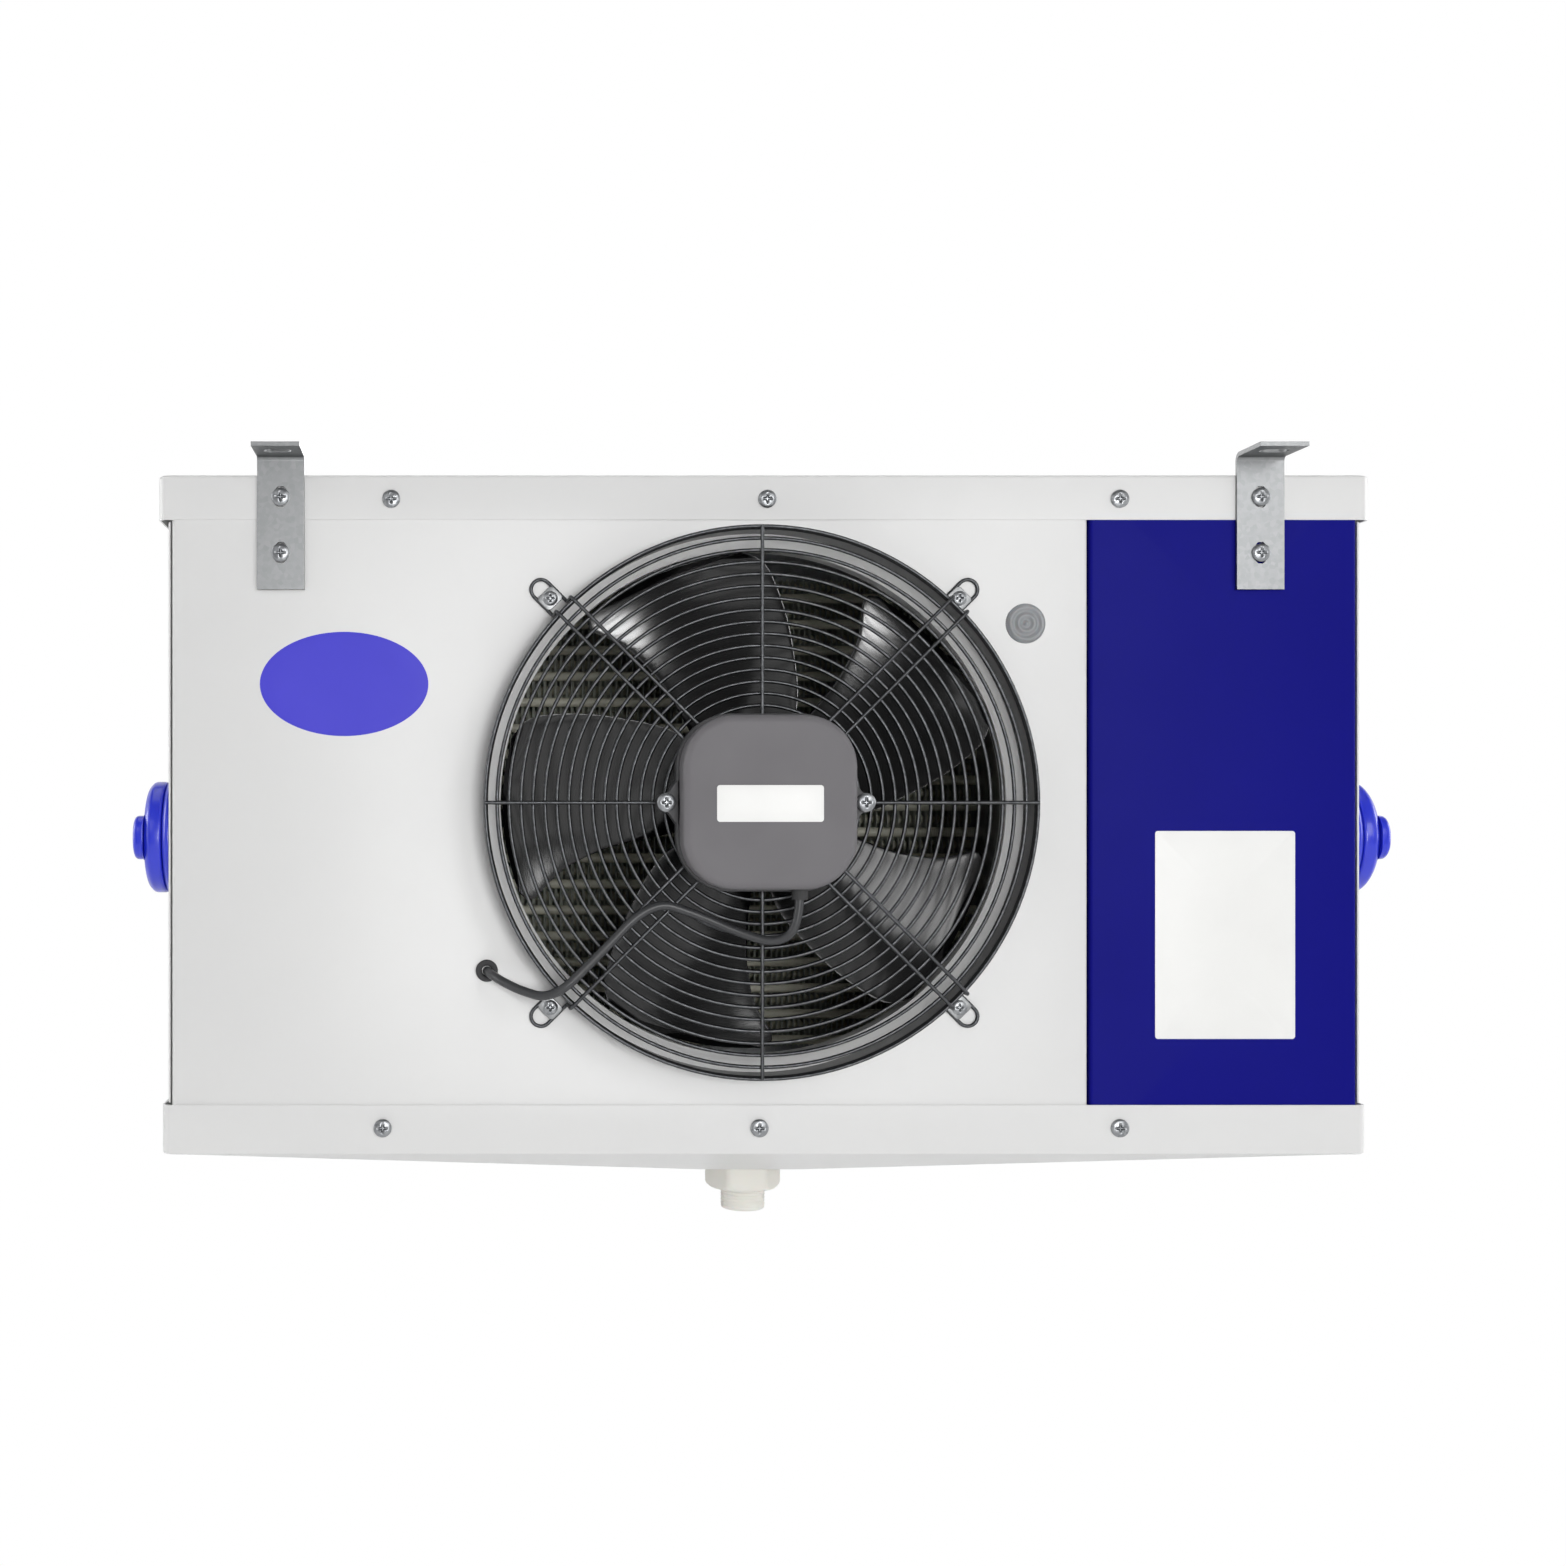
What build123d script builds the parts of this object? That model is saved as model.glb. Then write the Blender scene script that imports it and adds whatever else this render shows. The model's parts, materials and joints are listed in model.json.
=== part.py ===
from build123d import *
import math
import os

# Walk-in unit cooler: a ceiling-hung evaporator with one guarded axial fan.
# It is modelled in the casing's own datum: x across the casing from its middle, positive to the
# right as seen from the front; y from the front panel's face towards the rear; z up from the lower
# rim of the drain tray. At the end every piece moves by one shift, to_hanging, which puts the
# origin at the middle of the four hanging slots, on the brackets' top faces. Millimetres.

# ---- casing ----
casing_width = 834.0
casing_depth = 340.0
sheet = 1.2
lid_skirt = 31.5
lid_overhang = 7.0
tray_lip = 35.0
tray_overhang = 4.5
rim_gap = 3.0
return_depth = 25.0
door_gap = 1.0
door_edge_gap = 1.5
seam_x = 227.3
seam_gap = 1.6
rear_return = 24.0

# ---- fan, guard and motor ----
fan_x = -7.0
fan_floor_gap = 21.5
fan_ceiling_gap = 8.2
throat_radius = 179.0
bell_radius = 9.0
bell_steps = 2
throat_length = 30.0
blade_tip_gap = 3.5
hoop_radius = 189.9
hoop_wall = 1.5
hoop_depth = 34.0
hoop_sides = 48
wire = 2.6
ring_count = 16
ring_sides = 16
inner_ring_radius = 66.4
arm_half_gap = 7.0
arm_inner_radius = 62.0
spoke_inner_radius = 56.5
lug_reach = 21.1
seat_gap = 0.3
motor_cover_size = 116.0
motor_cover_radius = 34.5
motor_cover_depth = 23.0
motor_cover_wall = 2.0
motor_flange_lip = 2.0
motor_flange_depth = 12.8
motor_boss_reach = 9.0
motor_boss_radius = 5.5
motor_boss_height = 2.5
motor_radius = 50.0
motor_wall = 4.0
motor_length = 25.2
end_bell_depth = 8.0
bearing_radius = 11.0
bearing_width = 7.0
bearing_seat = 0.03
running_fit = 0.05
shaft_seat = 0.02
shaft_radius = 4.0
stator_length = 16.0
stator_bore = 28.0
air_gap = 0.7
hub_radius = 52.0
hub_wall = 3.0
hub_length = 46.0
hub_gap = 3.0
hub_boss_radius = 10.0
blade_count = 5
blade_thickness = 2.2
blade_trailing = (62.0, 74.0, 88.5)
blade_leading = (131.0, 125.5, 134.0)
blade_slope = 0.3
blade_camber = 9.0
blade_strips = 5
blade_margin = 12.0

# ---- coil ----
coil_left = -344.5
coil_right = 223.8
end_plate = 1.5
end_plate_flange = 12.0
tube_pitch = 22.0
row_pitch = 19.05
tube_radius = 3.97
row_count = 3
circuit_count = 3
fin_count = 84
fin_thickness = 0.4
coil_bottom = 42.0
coil_rear_gap = 6.0
bend_reach = 11.0
tube_tail = 4.0

# ---- drain tray and drain ----
tray_drop = 22.0
drain_x = 0.0
drain_y = 105.0
drain_pad = 40.0
drain_radius = 16.6
drain_bore = 12.5
drain_flange = 24.0
drain_flange_height = 3.0
drain_length = 36.0
gasket_height = 2.0
nut_across_flats = 50.0
nut_height = 18.0
nut_bevel = 2.5
neck_relief = 0.5
neck_overrun = 1.0

# ---- hanging brackets ----
hanger_spacing = 684.0
hanger_shift = 4.0
hanger_width = 33.0
hanger_sheet = 3.0
hanger_drop = 95.5
hanger_reach = 43.0
hanger_rise = 15.0
hanger_bend = 6.0
rod_slot_width = 11.0
rod_slot_length = 20.0
rod_slot_reach = 25.0
strap_slot_width = 7.0
strap_slot_length = 15.0
strap_slot_drops = (31.0, 70.0)

# ---- small fastenings ----
screw_head = 6.3
screw_head_height = 3.0
screw_shank = 2.0
screw_hole = 2.5
screw_bite = 8.0
rear_screw_bite = 4.0
fastener_sides = 6
round_sides = 16
lid_screw_x = (-261.0, 2.0, 248.5)
lid_screw_drop = 17.0
tray_screw_x = (-267.0, -3.5, 248.5)
tray_screw_z = 19.0

# ---- cable, grommet and blank plug ----
cable_radius = 3.15
grommet_reach = 30.9
grommet_angle = 212.1
grommet_radius = 7.75
grommet_neck = 5.3
grommet_height = 3.5
hole_clearance = 0.2
plug_right = 190.0
plug_up = 125.6
plug_radius = 14.0
plug_neck = 9.8
plug_rim = 4.5
gland_radius = 5.5
gland_length = 7.0
cable_entry_right = 22.0
cable_entry_depth = 6.0

# ---- side doors, hinges and latches ----
door_flange = 12.0
door_flange_start = 28.0
hinge_offset = 4.9
hinge_radius = 4.5
hinge_pin = 2.5
hinge_leaf = 1.5
hinge_leaf_width = 16.5
hinge_relief = 5.5
knuckle_height = 22.0
knuckle_gap = 0.4
hinge_inset = 60.0
latch_y = 46.0
latch_z = 222.0
latch_base_radius = 43.0
latch_base_height = 6.0
latch_knob_radius = 40.0
latch_knob_height = 13.0
latch_knob_bevel = 4.0
latch_grip_height = 31.0
latch_grip_length = 76.0
latch_grip_rise = 7.5
latch_grip_bevel = 3.0
latch_neck = 9.0
latch_float = 0.5
tongue_inset = 7.0
tongue_thickness = 3.0
tongue_width = 16.0
tongue_length = 38.0

# ---- pipework and terminal box in the side compartments ----
header_radius = 11.1
header_x = 262.0
header_overrun = 22.0
pipe_standout = 35.0
suction_stub_z = 120.0
liquid_radius = 6.35
liquid_x = 330.0
liquid_z = 110.0
distributor_radius = 11.0
distributor_length = 32.0
distributor_y = 262.0
feeder_radius = 2.4
feeder_spread = 6.0
feeder_lane = 9.0
pipe_grommet_wall = 4.0
pipe_grommet_groove = 2.0
box_depth = 46.0
box_y = (80.0, 190.0)
box_z = (280.0, 370.0)
box_wall = 2.0

# ---- worked out from the sizes above ----
fan_z = tray_lip + fan_floor_gap + hoop_radius
lid_top = fan_z + hoop_radius + fan_ceiling_gap + lid_skirt
lug_radius = hoop_radius + lug_reach
motor_boss_spacing = motor_cover_size + 2 * motor_boss_reach
plug_x, plug_z = fan_x + plug_right, fan_z + plug_up
cable_entry_x = fan_x + cable_entry_right
half_width = casing_width / 2
skirt_bottom = lid_top - lid_skirt
panel_top = lid_top - sheet
panel_half = half_width - sheet - door_gap
lid_half = half_width + lid_overhang
tray_half = half_width + tray_overhang
strap_face = sheet + hanger_sheet
hanger_top = lid_top + hanger_rise
hanger_places = (hanger_shift - hanger_spacing / 2, hanger_shift + hanger_spacing / 2)
grille_back = -hoop_depth
arm_back = grille_back - wire
guard_face = arm_back - wire
motor_face = guard_face - motor_flange_depth
housing_rear = guard_face + motor_length
bell_rear = housing_rear + end_bell_depth
hub_front = bell_rear + hub_gap
hub_root = hub_radius - hub_wall
blade_tip = throat_radius - blade_tip_gap
flange_size = motor_cover_size + 2 * motor_flange_lip
coil_rear = casing_depth - sheet - coil_rear_gap
coil_front = coil_rear - row_count * row_pitch
levels_per_circuit = int((skirt_bottom - coil_bottom) / (circuit_count * tube_pitch))
level_count = circuit_count * levels_per_circuit
coil_height = level_count * tube_pitch
coil_top = coil_bottom + coil_height
end_plate_bottom = coil_bottom - sheet
end_plate_top = coil_top + sheet
door_bottom = tray_lip + door_edge_gap
door_top = skirt_bottom - door_edge_gap
door_rear = casing_depth - rear_return - 2 * door_gap
hinge_y = door_rear + door_gap
hinge_x = half_width + hinge_offset
drain_floor = sheet - tray_drop
to_hanging = Pos(-hanger_shift, -casing_depth / 2, -hanger_top)


def polar(radius, angle):
    return radius * math.cos(math.radians(angle)), radius * math.sin(math.radians(angle))


def from_fan(radius, angle):
    """A place x, z at a radius and an angle about the fan's axis."""
    across, up = polar(radius, angle)
    return fan_x + across, fan_z + up


def block(x0, x1, y0, y1, z0, z1):
    """A solid between two corners."""
    return Pos((x0 + x1) / 2, (y0 + y1) / 2, (z0 + z1) / 2) * Box(x1 - x0, y1 - y0, z1 - z0)


def rect(x0, x1, y0, y1):
    """A flat rectangle between two corners."""
    return Pos((x0 + x1) / 2, (y0 + y1) / 2) * Rectangle(x1 - x0, y1 - y0)


def front_slab(sketch, y0, y1):
    """A sketch drawn as seen from the front, with local y up, as a solid from depth y0 to y1."""
    face_plane = Plane(origin=(0, y1, 0), x_dir=(1, 0, 0), z_dir=(0, -1, 0))
    return extrude(face_plane * sketch, amount=y1 - y0)


def side_slab(sketch, x0, x1):
    """A sketch drawn with local x along the depth and local y up, as a solid from x0 to x1."""
    face_plane = Plane(origin=(x0, 0, 0), x_dir=(0, 1, 0), z_dir=(1, 0, 0))
    return extrude(face_plane * sketch, amount=x1 - x0)


def plan_slab(sketch, z0, z1):
    """A sketch drawn in plan as a solid from z0 to z1."""
    return extrude(Pos(0, 0, z0) * sketch, amount=z1 - z0)


def turned(points, x=0.0, z=0.0):
    """A solid turned about an axis along the depth through x, z, from points of radius and depth."""
    profile = make_face(Polyline(*[(radius, depth) for radius, depth in points], close=True))
    return Pos(x, 0, z) * revolve(profile, Axis.Y)


def pegs(places, radius, y0, y1):
    """Short many-sided pegs along the depth, one at each place (x, z)."""
    peg = RegularPolygon(radius, fastener_sides)
    return front_slab(Sketch() + [Pos(x, z) * peg for x, z in places], y0, y1)


def round_plate(radius, bore=0.0):
    """A small round outline, drawn with flats that touch the radius, and a true round bore."""
    outline = RegularPolygon(radius, round_sides)
    return outline - Circle(bore) if bore else outline


def stepped(steps, bore, x, z):
    """A small turned piece along the depth: steps of radius and two depths, with one bore through."""
    piece = Part() + [front_slab(Pos(x, z) * round_plate(radius), y0, y1) for radius, y0, y1 in steps]
    if bore:
        piece -= front_slab(Pos(x, z) * RegularPolygon(bore, round_sides), *depth_span(steps))
    return piece


def depth_span(steps):
    """The lowest and highest depth of some steps."""
    return min(step[1] for step in steps), max(step[2] for step in steps)


def folded_pan(x0, x1, z0, z1, face_y, open_y):
    """A folded sheet pan: a flat face at face_y with its four edges folded back to open_y."""
    inner_y = face_y + math.copysign(sheet, open_y - face_y)
    outer = block(x0, x1, *sorted((face_y, open_y)), z0, z1)
    inner_span = sorted((inner_y, open_y))
    hollow = block(x0 + sheet, x1 - sheet, *inner_span, z0 + sheet, z1 - sheet)
    return outer - hollow


# ---- casing sheets ----
def grommet_place():
    return from_fan(hoop_radius + grommet_reach, grommet_angle)


def lid_screw_places():
    return [(x, lid_top - lid_screw_drop) for x in lid_screw_x]


def tray_screw_places():
    return [(x, tray_screw_z) for x in tray_screw_x]


def strap_screw_places():
    """The two screws of each hanging bracket's strap."""
    return [(x, hanger_top - drop) for x in hanger_places for drop in strap_slot_drops]


def lid():
    """A shallow lid with a skirt all round, screwed to the front panel and the rear frame."""
    outer = block(-lid_half, lid_half, -sheet, casing_depth + sheet, skirt_bottom, lid_top)
    hollow = block(-lid_half + sheet, lid_half - sheet, 0, casing_depth, skirt_bottom, lid_top - sheet)
    upper_straps = [place for place in strap_screw_places() if place[1] > skirt_bottom]
    holes = pegs(lid_screw_places() + upper_straps, screw_hole, -sheet, casing_depth + sheet)
    return outer - hollow - holes


def bell_points(radius, steps):
    """Points of a quarter-round lip of the given radius, from the panel's plane to the throat."""
    centre = throat_radius + bell_radius
    angles = [math.pi / 2 * index / steps for index in range(steps + 1)]
    return [(centre - radius * math.sin(angle), bell_radius - radius * math.cos(angle)) for angle in angles]


def bell_mouth():
    """The pressed inlet ring round the fan: a quarter-round lip that runs into a short throat."""
    outside = bell_points(bell_radius, bell_steps) + [(throat_radius, throat_length)]
    inside = [(throat_radius + sheet, throat_length)] + bell_points(bell_radius - sheet, bell_steps)[::-1]
    return turned(outside + inside, fan_x, fan_z)


def front_panel():
    """The white fan panel: a folded pan with the bell-mouth pressed into it."""
    pan = folded_pan(-panel_half, seam_x - seam_gap / 2, rim_gap, panel_top - sheet, 0, return_depth)
    openings = Sketch() + [
        Pos(fan_x, fan_z) * Circle(throat_radius + bell_radius),
        Pos(*grommet_place()) * Circle(grommet_neck + hole_clearance),
        Pos(plug_x, plug_z) * Circle(plug_neck + hole_clearance),
    ]
    return pan - front_slab(openings, 0, sheet) + bell_mouth()


def service_cover():
    """The blue cover in front of the pipework compartment."""
    return folded_pan(seam_x + seam_gap / 2, panel_half, rim_gap, panel_top - sheet, 0, return_depth)


def rear_frame():
    """The rear frame round the coil's inlet, with holes for the two pipes."""
    pan = folded_pan(
        -half_width, half_width, rim_gap, panel_top - sheet, casing_depth, casing_depth - rear_return
    )
    openings = Sketch() + [
        rect(coil_left, coil_right, coil_bottom, coil_top),
        Pos(header_x, suction_stub_z) * Circle(header_radius + pipe_grommet_wall),
        Pos(liquid_x, liquid_z) * Circle(liquid_radius + pipe_grommet_wall),
    ]
    return pan - front_slab(openings, casing_depth - sheet, casing_depth)


def coil_end_plate(side):
    """A coil end plate from the front panel to the rear frame, folded inwards at both ends."""
    inner_x = coil_right if side > 0 else coil_left
    outer_x = inner_x + side * end_plate
    flange_x = inner_x - side * end_plate_flange
    rear_y = casing_depth - sheet
    profile = Polyline(
        (outer_x, sheet), (flange_x, sheet), (flange_x, sheet + end_plate),
        (inner_x, sheet + end_plate), (inner_x, rear_y - end_plate), (flange_x, rear_y - end_plate),
        (flange_x, rear_y), (outer_x, rear_y), close=True,
    )
    return plan_slab(make_face(profile), end_plate_bottom, end_plate_top)


# ---- coil ----
def tube_place(row, level):
    """Depth and height of one tube; alternate rows are staggered by half a pitch."""
    stagger = tube_pitch / 4 if row % 2 else -tube_pitch / 4
    return coil_front + (row + 0.5) * row_pitch, coil_bottom + (level + 0.5) * tube_pitch + stagger


def circuit_path(circuit):
    """One circuit's tubes in flow order: up the first row, down the next and so on."""
    first = circuit * levels_per_circuit
    levels = range(first, first + levels_per_circuit)
    return [
        tube_place(row, level)
        for row in range(row_count)
        for level in (levels if row % 2 == 0 else reversed(levels))
    ]


def coil_fins():
    """The fin pack: flat aluminium plates across the tubes."""
    pitch = (coil_right - coil_left) / (fin_count + 1)
    outline = rect(coil_front, coil_rear, coil_bottom, coil_top)
    first = side_slab(outline, coil_left + pitch - fin_thickness / 2, coil_left + pitch + fin_thickness / 2)
    return [Pos(index * pitch, 0, 0) * first for index in range(fin_count)]


def return_bend(start, end, end_x, side):
    """A bend outside an end plate from one tube's end to the next."""
    rise = Vector(0, end[0] - start[0], end[1] - start[1])
    base = Vector(end_x, start[0], start[1])
    out = Vector(side * bend_reach, 0, 0)
    path = Polyline(base, base + out + rise * 0.25, base + out + rise * 0.75, base + rise)
    section = Plane(origin=base, z_dir=(path @ 0.01) - base) * RegularPolygon(tube_radius, 6)
    return sweep(section, path=path, transition=Transition.RIGHT)


def coil_tubes():
    """All straight tubes of the coil and the bends that join them."""
    left_x = coil_left - end_plate - tube_tail
    right_x = coil_right + end_plate + tube_tail
    pieces = []
    for circuit in range(circuit_count):
        path = circuit_path(circuit)
        pieces += [side_slab(Pos(*place) * RegularPolygon(tube_radius, 6), left_x, right_x) for place in path]
        for index in range(len(path) - 1):
            end_x, side = (left_x, -1) if index % 2 == 0 else (right_x, 1)
            pieces.append(return_bend(path[index], path[index + 1], end_x, side))
    return pieces


def pipe_end(x, z, radius, start_y):
    """A pipe through the rear frame, swaged to its full size on the length that a fitting covers."""
    swage_y = casing_depth + pipe_grommet_groove + neck_overrun
    neck = front_slab(Pos(x, z) * Circle(radius - neck_relief), start_y, swage_y)
    return neck + front_slab(Pos(x, z) * Circle(radius), swage_y, casing_depth + pipe_standout)


def suction_header():
    """The upright suction header with its branches and the stub through the rear frame."""
    outlets = [circuit_path(circuit)[-1] for circuit in range(circuit_count)]
    header_y = outlets[0][0]
    header_bottom = suction_stub_z - header_radius
    header_top = outlets[-1][1] + header_overrun
    header = plan_slab(Pos(header_x, header_y) * round_plate(header_radius), header_bottom, header_top)
    branch_x = coil_right + end_plate + tube_tail
    for place in outlets:
        header += side_slab(Pos(*place) * RegularPolygon(tube_radius, fastener_sides), branch_x, header_x)
    return header + pipe_end(header_x, suction_stub_z, header_radius, header_y)


def liquid_distributor():
    """The liquid pipe and the brass distributor, which splits the flow between the circuits."""
    shoulder = distributor_y + distributor_length
    body = stepped(
        [(distributor_radius, distributor_y, distributor_y + distributor_length / 2),
         (distributor_radius * 0.8, distributor_y, shoulder)], 0, liquid_x, liquid_z,
    )
    return body + pipe_end(liquid_x, liquid_z, liquid_radius, shoulder)


def feeder_tubes():
    """Thin tubes from the distributor's face to the first tube of each circuit."""
    tubes = []
    for circuit in range(circuit_count):
        tube_y, tube_z = circuit_path(circuit)[0]
        angle = math.radians(90 + 360 / circuit_count * circuit)
        start_x = liquid_x + feeder_spread * math.cos(angle)
        start_z = liquid_z + feeder_spread * math.sin(angle)
        lane_y = distributor_y - feeder_lane * (circuit + 2)
        end_x = coil_right + end_plate + tube_tail
        path = Polyline(
            (start_x, distributor_y, start_z), (start_x, lane_y, start_z),
            (end_x + 4 * feeder_lane, lane_y, tube_z), (end_x + 2 * feeder_lane, tube_y, tube_z),
            (end_x, tube_y, tube_z),
        )
        section = Plane(origin=path @ 0, z_dir=path % 0) * RegularPolygon(feeder_radius, fastener_sides)
        tubes.append(sweep(section, path=path, transition=Transition.RIGHT))
    return tubes


def pipe_grommets():
    """Rubber grommets round the two pipes in the rear frame."""
    grommets = []
    rear = casing_depth - sheet
    for x, z, pipe in ((header_x, suction_stub_z, header_radius), (liquid_x, liquid_z, liquid_radius)):
        neck = pipe + pipe_grommet_wall - hole_clearance
        outer = pipe + pipe_grommet_wall + pipe_grommet_groove
        lips = [(outer, rear - pipe_grommet_groove, rear), (neck, rear, casing_depth),
                (outer, casing_depth, casing_depth + pipe_grommet_groove)]
        grommets.append(stepped(lips, pipe, x, z))
    return grommets


# ---- drain ----
def tray_body(half, y0, y1, pad, floor):
    """An upright rim over a floor that falls from all sides to a flat square at the drain."""
    rim = [(x, y) for x in (-half, half) for y in (y0, y1)]
    well = [(drain_x + i * pad, drain_y + j * pad) for i in (-1, 1) for j in (-1, 1)]
    corners = [(x, y, z) for x, y in rim for z in (0, tray_lip)] + [(x, y, floor) for x, y in well]
    return ConvexPolyhedron(corners)


def drain_tray():
    """The drain tray, screwed to the casing by its front and rear lips."""
    outer = tray_body(tray_half, -sheet, casing_depth + sheet, drain_pad, -tray_drop)
    inner = tray_body(tray_half - sheet, 0, casing_depth, drain_pad - sheet / 2, drain_floor)
    holes = pegs(tray_screw_places(), screw_hole, -sheet, casing_depth + sheet)
    hole = Pos(drain_x, drain_y) * RegularPolygon(drain_radius + 2 * hole_clearance, round_sides)
    return outer - inner - holes - plan_slab(hole, -tray_drop, drain_floor)


def drain_stub():
    """The outlet: a flange on the tray's floor, a neck through the nut and the end for a hose."""
    top = drain_floor + drain_flange_height
    bottom = -tray_drop - drain_length
    shoulder = -tray_drop - gasket_height - nut_height - neck_overrun
    place = Pos(drain_x, drain_y)
    stub = plan_slab(place * round_plate(drain_flange), drain_floor, top)
    stub += plan_slab(place * Circle(drain_radius - neck_relief), shoulder, drain_floor)
    stub += plan_slab(place * Circle(drain_radius), bottom, shoulder)
    return stub - plan_slab(place * RegularPolygon(drain_bore, round_sides), bottom, top)


def drain_gasket():
    """A flat ring between the tray and the nut."""
    ring = round_plate(drain_flange) - RegularPolygon(drain_radius + 2 * hole_clearance, round_sides)
    return plan_slab(Pos(drain_x, drain_y) * ring, -tray_drop - gasket_height, -tray_drop)


def drain_nut():
    """A hexagon nut with bevelled lower edges."""
    top = -tray_drop - gasket_height
    hexagon = RegularPolygon(nut_across_flats / 2, 6, major_radius=False)
    body = plan_slab(Pos(drain_x, drain_y) * hexagon, top - nut_height, top)
    body = chamfer(body.faces().sort_by(Axis.Z)[0].edges(), nut_bevel)
    bore = Pos(drain_x, drain_y) * RegularPolygon(drain_radius + 2 * hole_clearance, round_sides)
    return body - plan_slab(bore, top - nut_height, top)


# ---- hanging brackets ----
def strap_slot():
    """An upright slot with its ends drawn as cut corners."""
    half, end = strap_slot_width / 2, strap_slot_length / 2
    cut = half / 2
    return Polygon(
        (half, end - cut), (cut, end), (-cut, end), (-half, end - cut),
        (-half, cut - end), (-cut, -end), (cut, -end), (half, cut - end), align=None,
    )


def hanger(x, rear):
    """A bent strap with a slotted foot for the hanging rod; rear ones face backwards."""
    back = -sheet
    front = back - hanger_sheet
    tip = back - hanger_reach
    under = hanger_top - hanger_sheet
    bottom = hanger_top - hanger_drop
    profile = make_face(Polyline(
        (back, bottom), (back, hanger_top), (tip, hanger_top), (tip, under), (front, under), (front, bottom),
        close=True,
    ))
    for corner, radius in (((back, hanger_top), hanger_bend), ((front, under), hanger_bend - hanger_sheet)):
        profile = fillet(profile.vertices().sort_by_distance(corner)[0], radius)
    strap = side_slab(profile, x - hanger_width / 2, x + hanger_width / 2)
    strap_slots = Sketch() + [Pos(x, hanger_top - drop) * strap_slot() for drop in strap_slot_drops]
    rod_slot = Pos(x, back - rod_slot_reach) * SlotOverall(rod_slot_length, rod_slot_width)
    strap = strap - front_slab(strap_slots, front, back) - plan_slab(rod_slot, under, hanger_top)
    return mirror(strap, Plane.XZ.offset(-casing_depth / 2)) if rear else strap


def screws(places, seat_y, end_y):
    """Pan-headed screws whose heads rest at seat_y and whose ends reach end_y."""
    head_y = seat_y - math.copysign(screw_head_height, end_y - seat_y)
    heads = pegs(places, screw_head, *sorted((head_y, seat_y)))
    return heads + pegs(places, screw_shank, *sorted((seat_y, end_y)))


def front_and_rear_screws(places, seat):
    """Screws into the front panel and their twins into the rear frame, each at seat off the sheet."""
    rear = screws(places, casing_depth + seat, casing_depth - rear_screw_bite)
    return [screws(places, -seat, screw_bite), rear]


# ---- fan guard ----
def about_fan(piece, angle):
    """A piece drawn round the fan's axis, turned by an angle in degrees, seen from the front."""
    return Pos(fan_x, 0, fan_z) * Rot(0, -angle, 0) * piece


def guard_hoop():
    """The steel band that carries the grille, standing on the front panel."""
    outer, inner = (RegularPolygon(radius, hoop_sides) for radius in (hoop_radius, hoop_radius - hoop_wall))
    return front_slab(Pos(fan_x, fan_z) * (outer - inner), grille_back, 0)


def guard_ring(radius):
    """One ring of the grille, as a many-sided loop of square wire."""
    outer, inner = (RegularPolygon(reach, ring_sides) for reach in (radius + wire / 2, radius - wire / 2))
    return front_slab(Pos(fan_x, fan_z) * (outer - inner), arm_back, grille_back)


def single_spoke():
    """A straight radial wire, drawn along x."""
    return front_slab(rect(spoke_inner_radius, hoop_radius, -wire / 2, wire / 2), guard_face, arm_back)


def double_arm():
    """Two wires side by side that run over the hoop, down to the panel and round a screw."""
    leg_inner = hoop_radius + seat_gap
    leg_outer = leg_inner + wire
    arm = Part()
    for side in (-1, 1):
        low, high = side * arm_half_gap - wire / 2, side * arm_half_gap + wire / 2
        arm += front_slab(rect(arm_inner_radius, leg_outer, low, high), guard_face, arm_back)
        arm += front_slab(rect(leg_inner, leg_outer, low, high), arm_back, -wire)
    loop = []
    for half in (arm_half_gap + wire / 2, arm_half_gap - wire / 2):
        shape = rect(leg_inner, lug_radius, -half, half)
        loop.append(shape + Pos(lug_radius, 0) * RegularPolygon(half, 2 * fastener_sides, major_radius=False))
    return arm + front_slab(loop[0] - loop[1], -wire, 0)


def guard_grille():
    """The rings, the four single spokes and the four double arms."""
    first = hoop_radius - wire / 2
    step = (first - inner_ring_radius) / (ring_count - 1)
    rings = [guard_ring(first - index * step) for index in range(ring_count)]
    spoke, arm = single_spoke(), double_arm()
    spokes = [about_fan(spoke, 90 * quarter) for quarter in range(4)]
    arms = [about_fan(arm, 45 + 90 * quarter) for quarter in range(4)]
    return rings + spokes + arms


def guard_screw_places():
    """The four screws inside the arms' loops."""
    reach = lug_radius * math.sqrt(0.5)
    return [(fan_x + i * reach, fan_z + j * reach) for i in (-1, 1) for j in (-1, 1)]


# ---- motor ----
def rounded_square(size, radius):
    return Pos(fan_x, fan_z) * RectangleRounded(size, size, radius)


def motor_cover():
    """The square cap over the motor's terminals, open towards the motor."""
    front = motor_face - motor_cover_depth
    cap = front_slab(rounded_square(motor_cover_size, motor_cover_radius), front, motor_face)
    cap = chamfer(cap.faces().sort_by(Axis.Y)[0].edges(), motor_cover_wall)
    inside = Rectangle(*[motor_cover_size - 2 * motor_cover_wall] * 2)
    room = Pos(fan_x, fan_z) * chamfer(inside.vertices(), motor_cover_radius)
    return cap - front_slab(room, front + motor_cover_wall, motor_face)


def fan_plate(radius, bore=0.0):
    """A round outline on the fan's axis."""
    return Pos(fan_x, fan_z) * round_plate(radius, bore)


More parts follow.
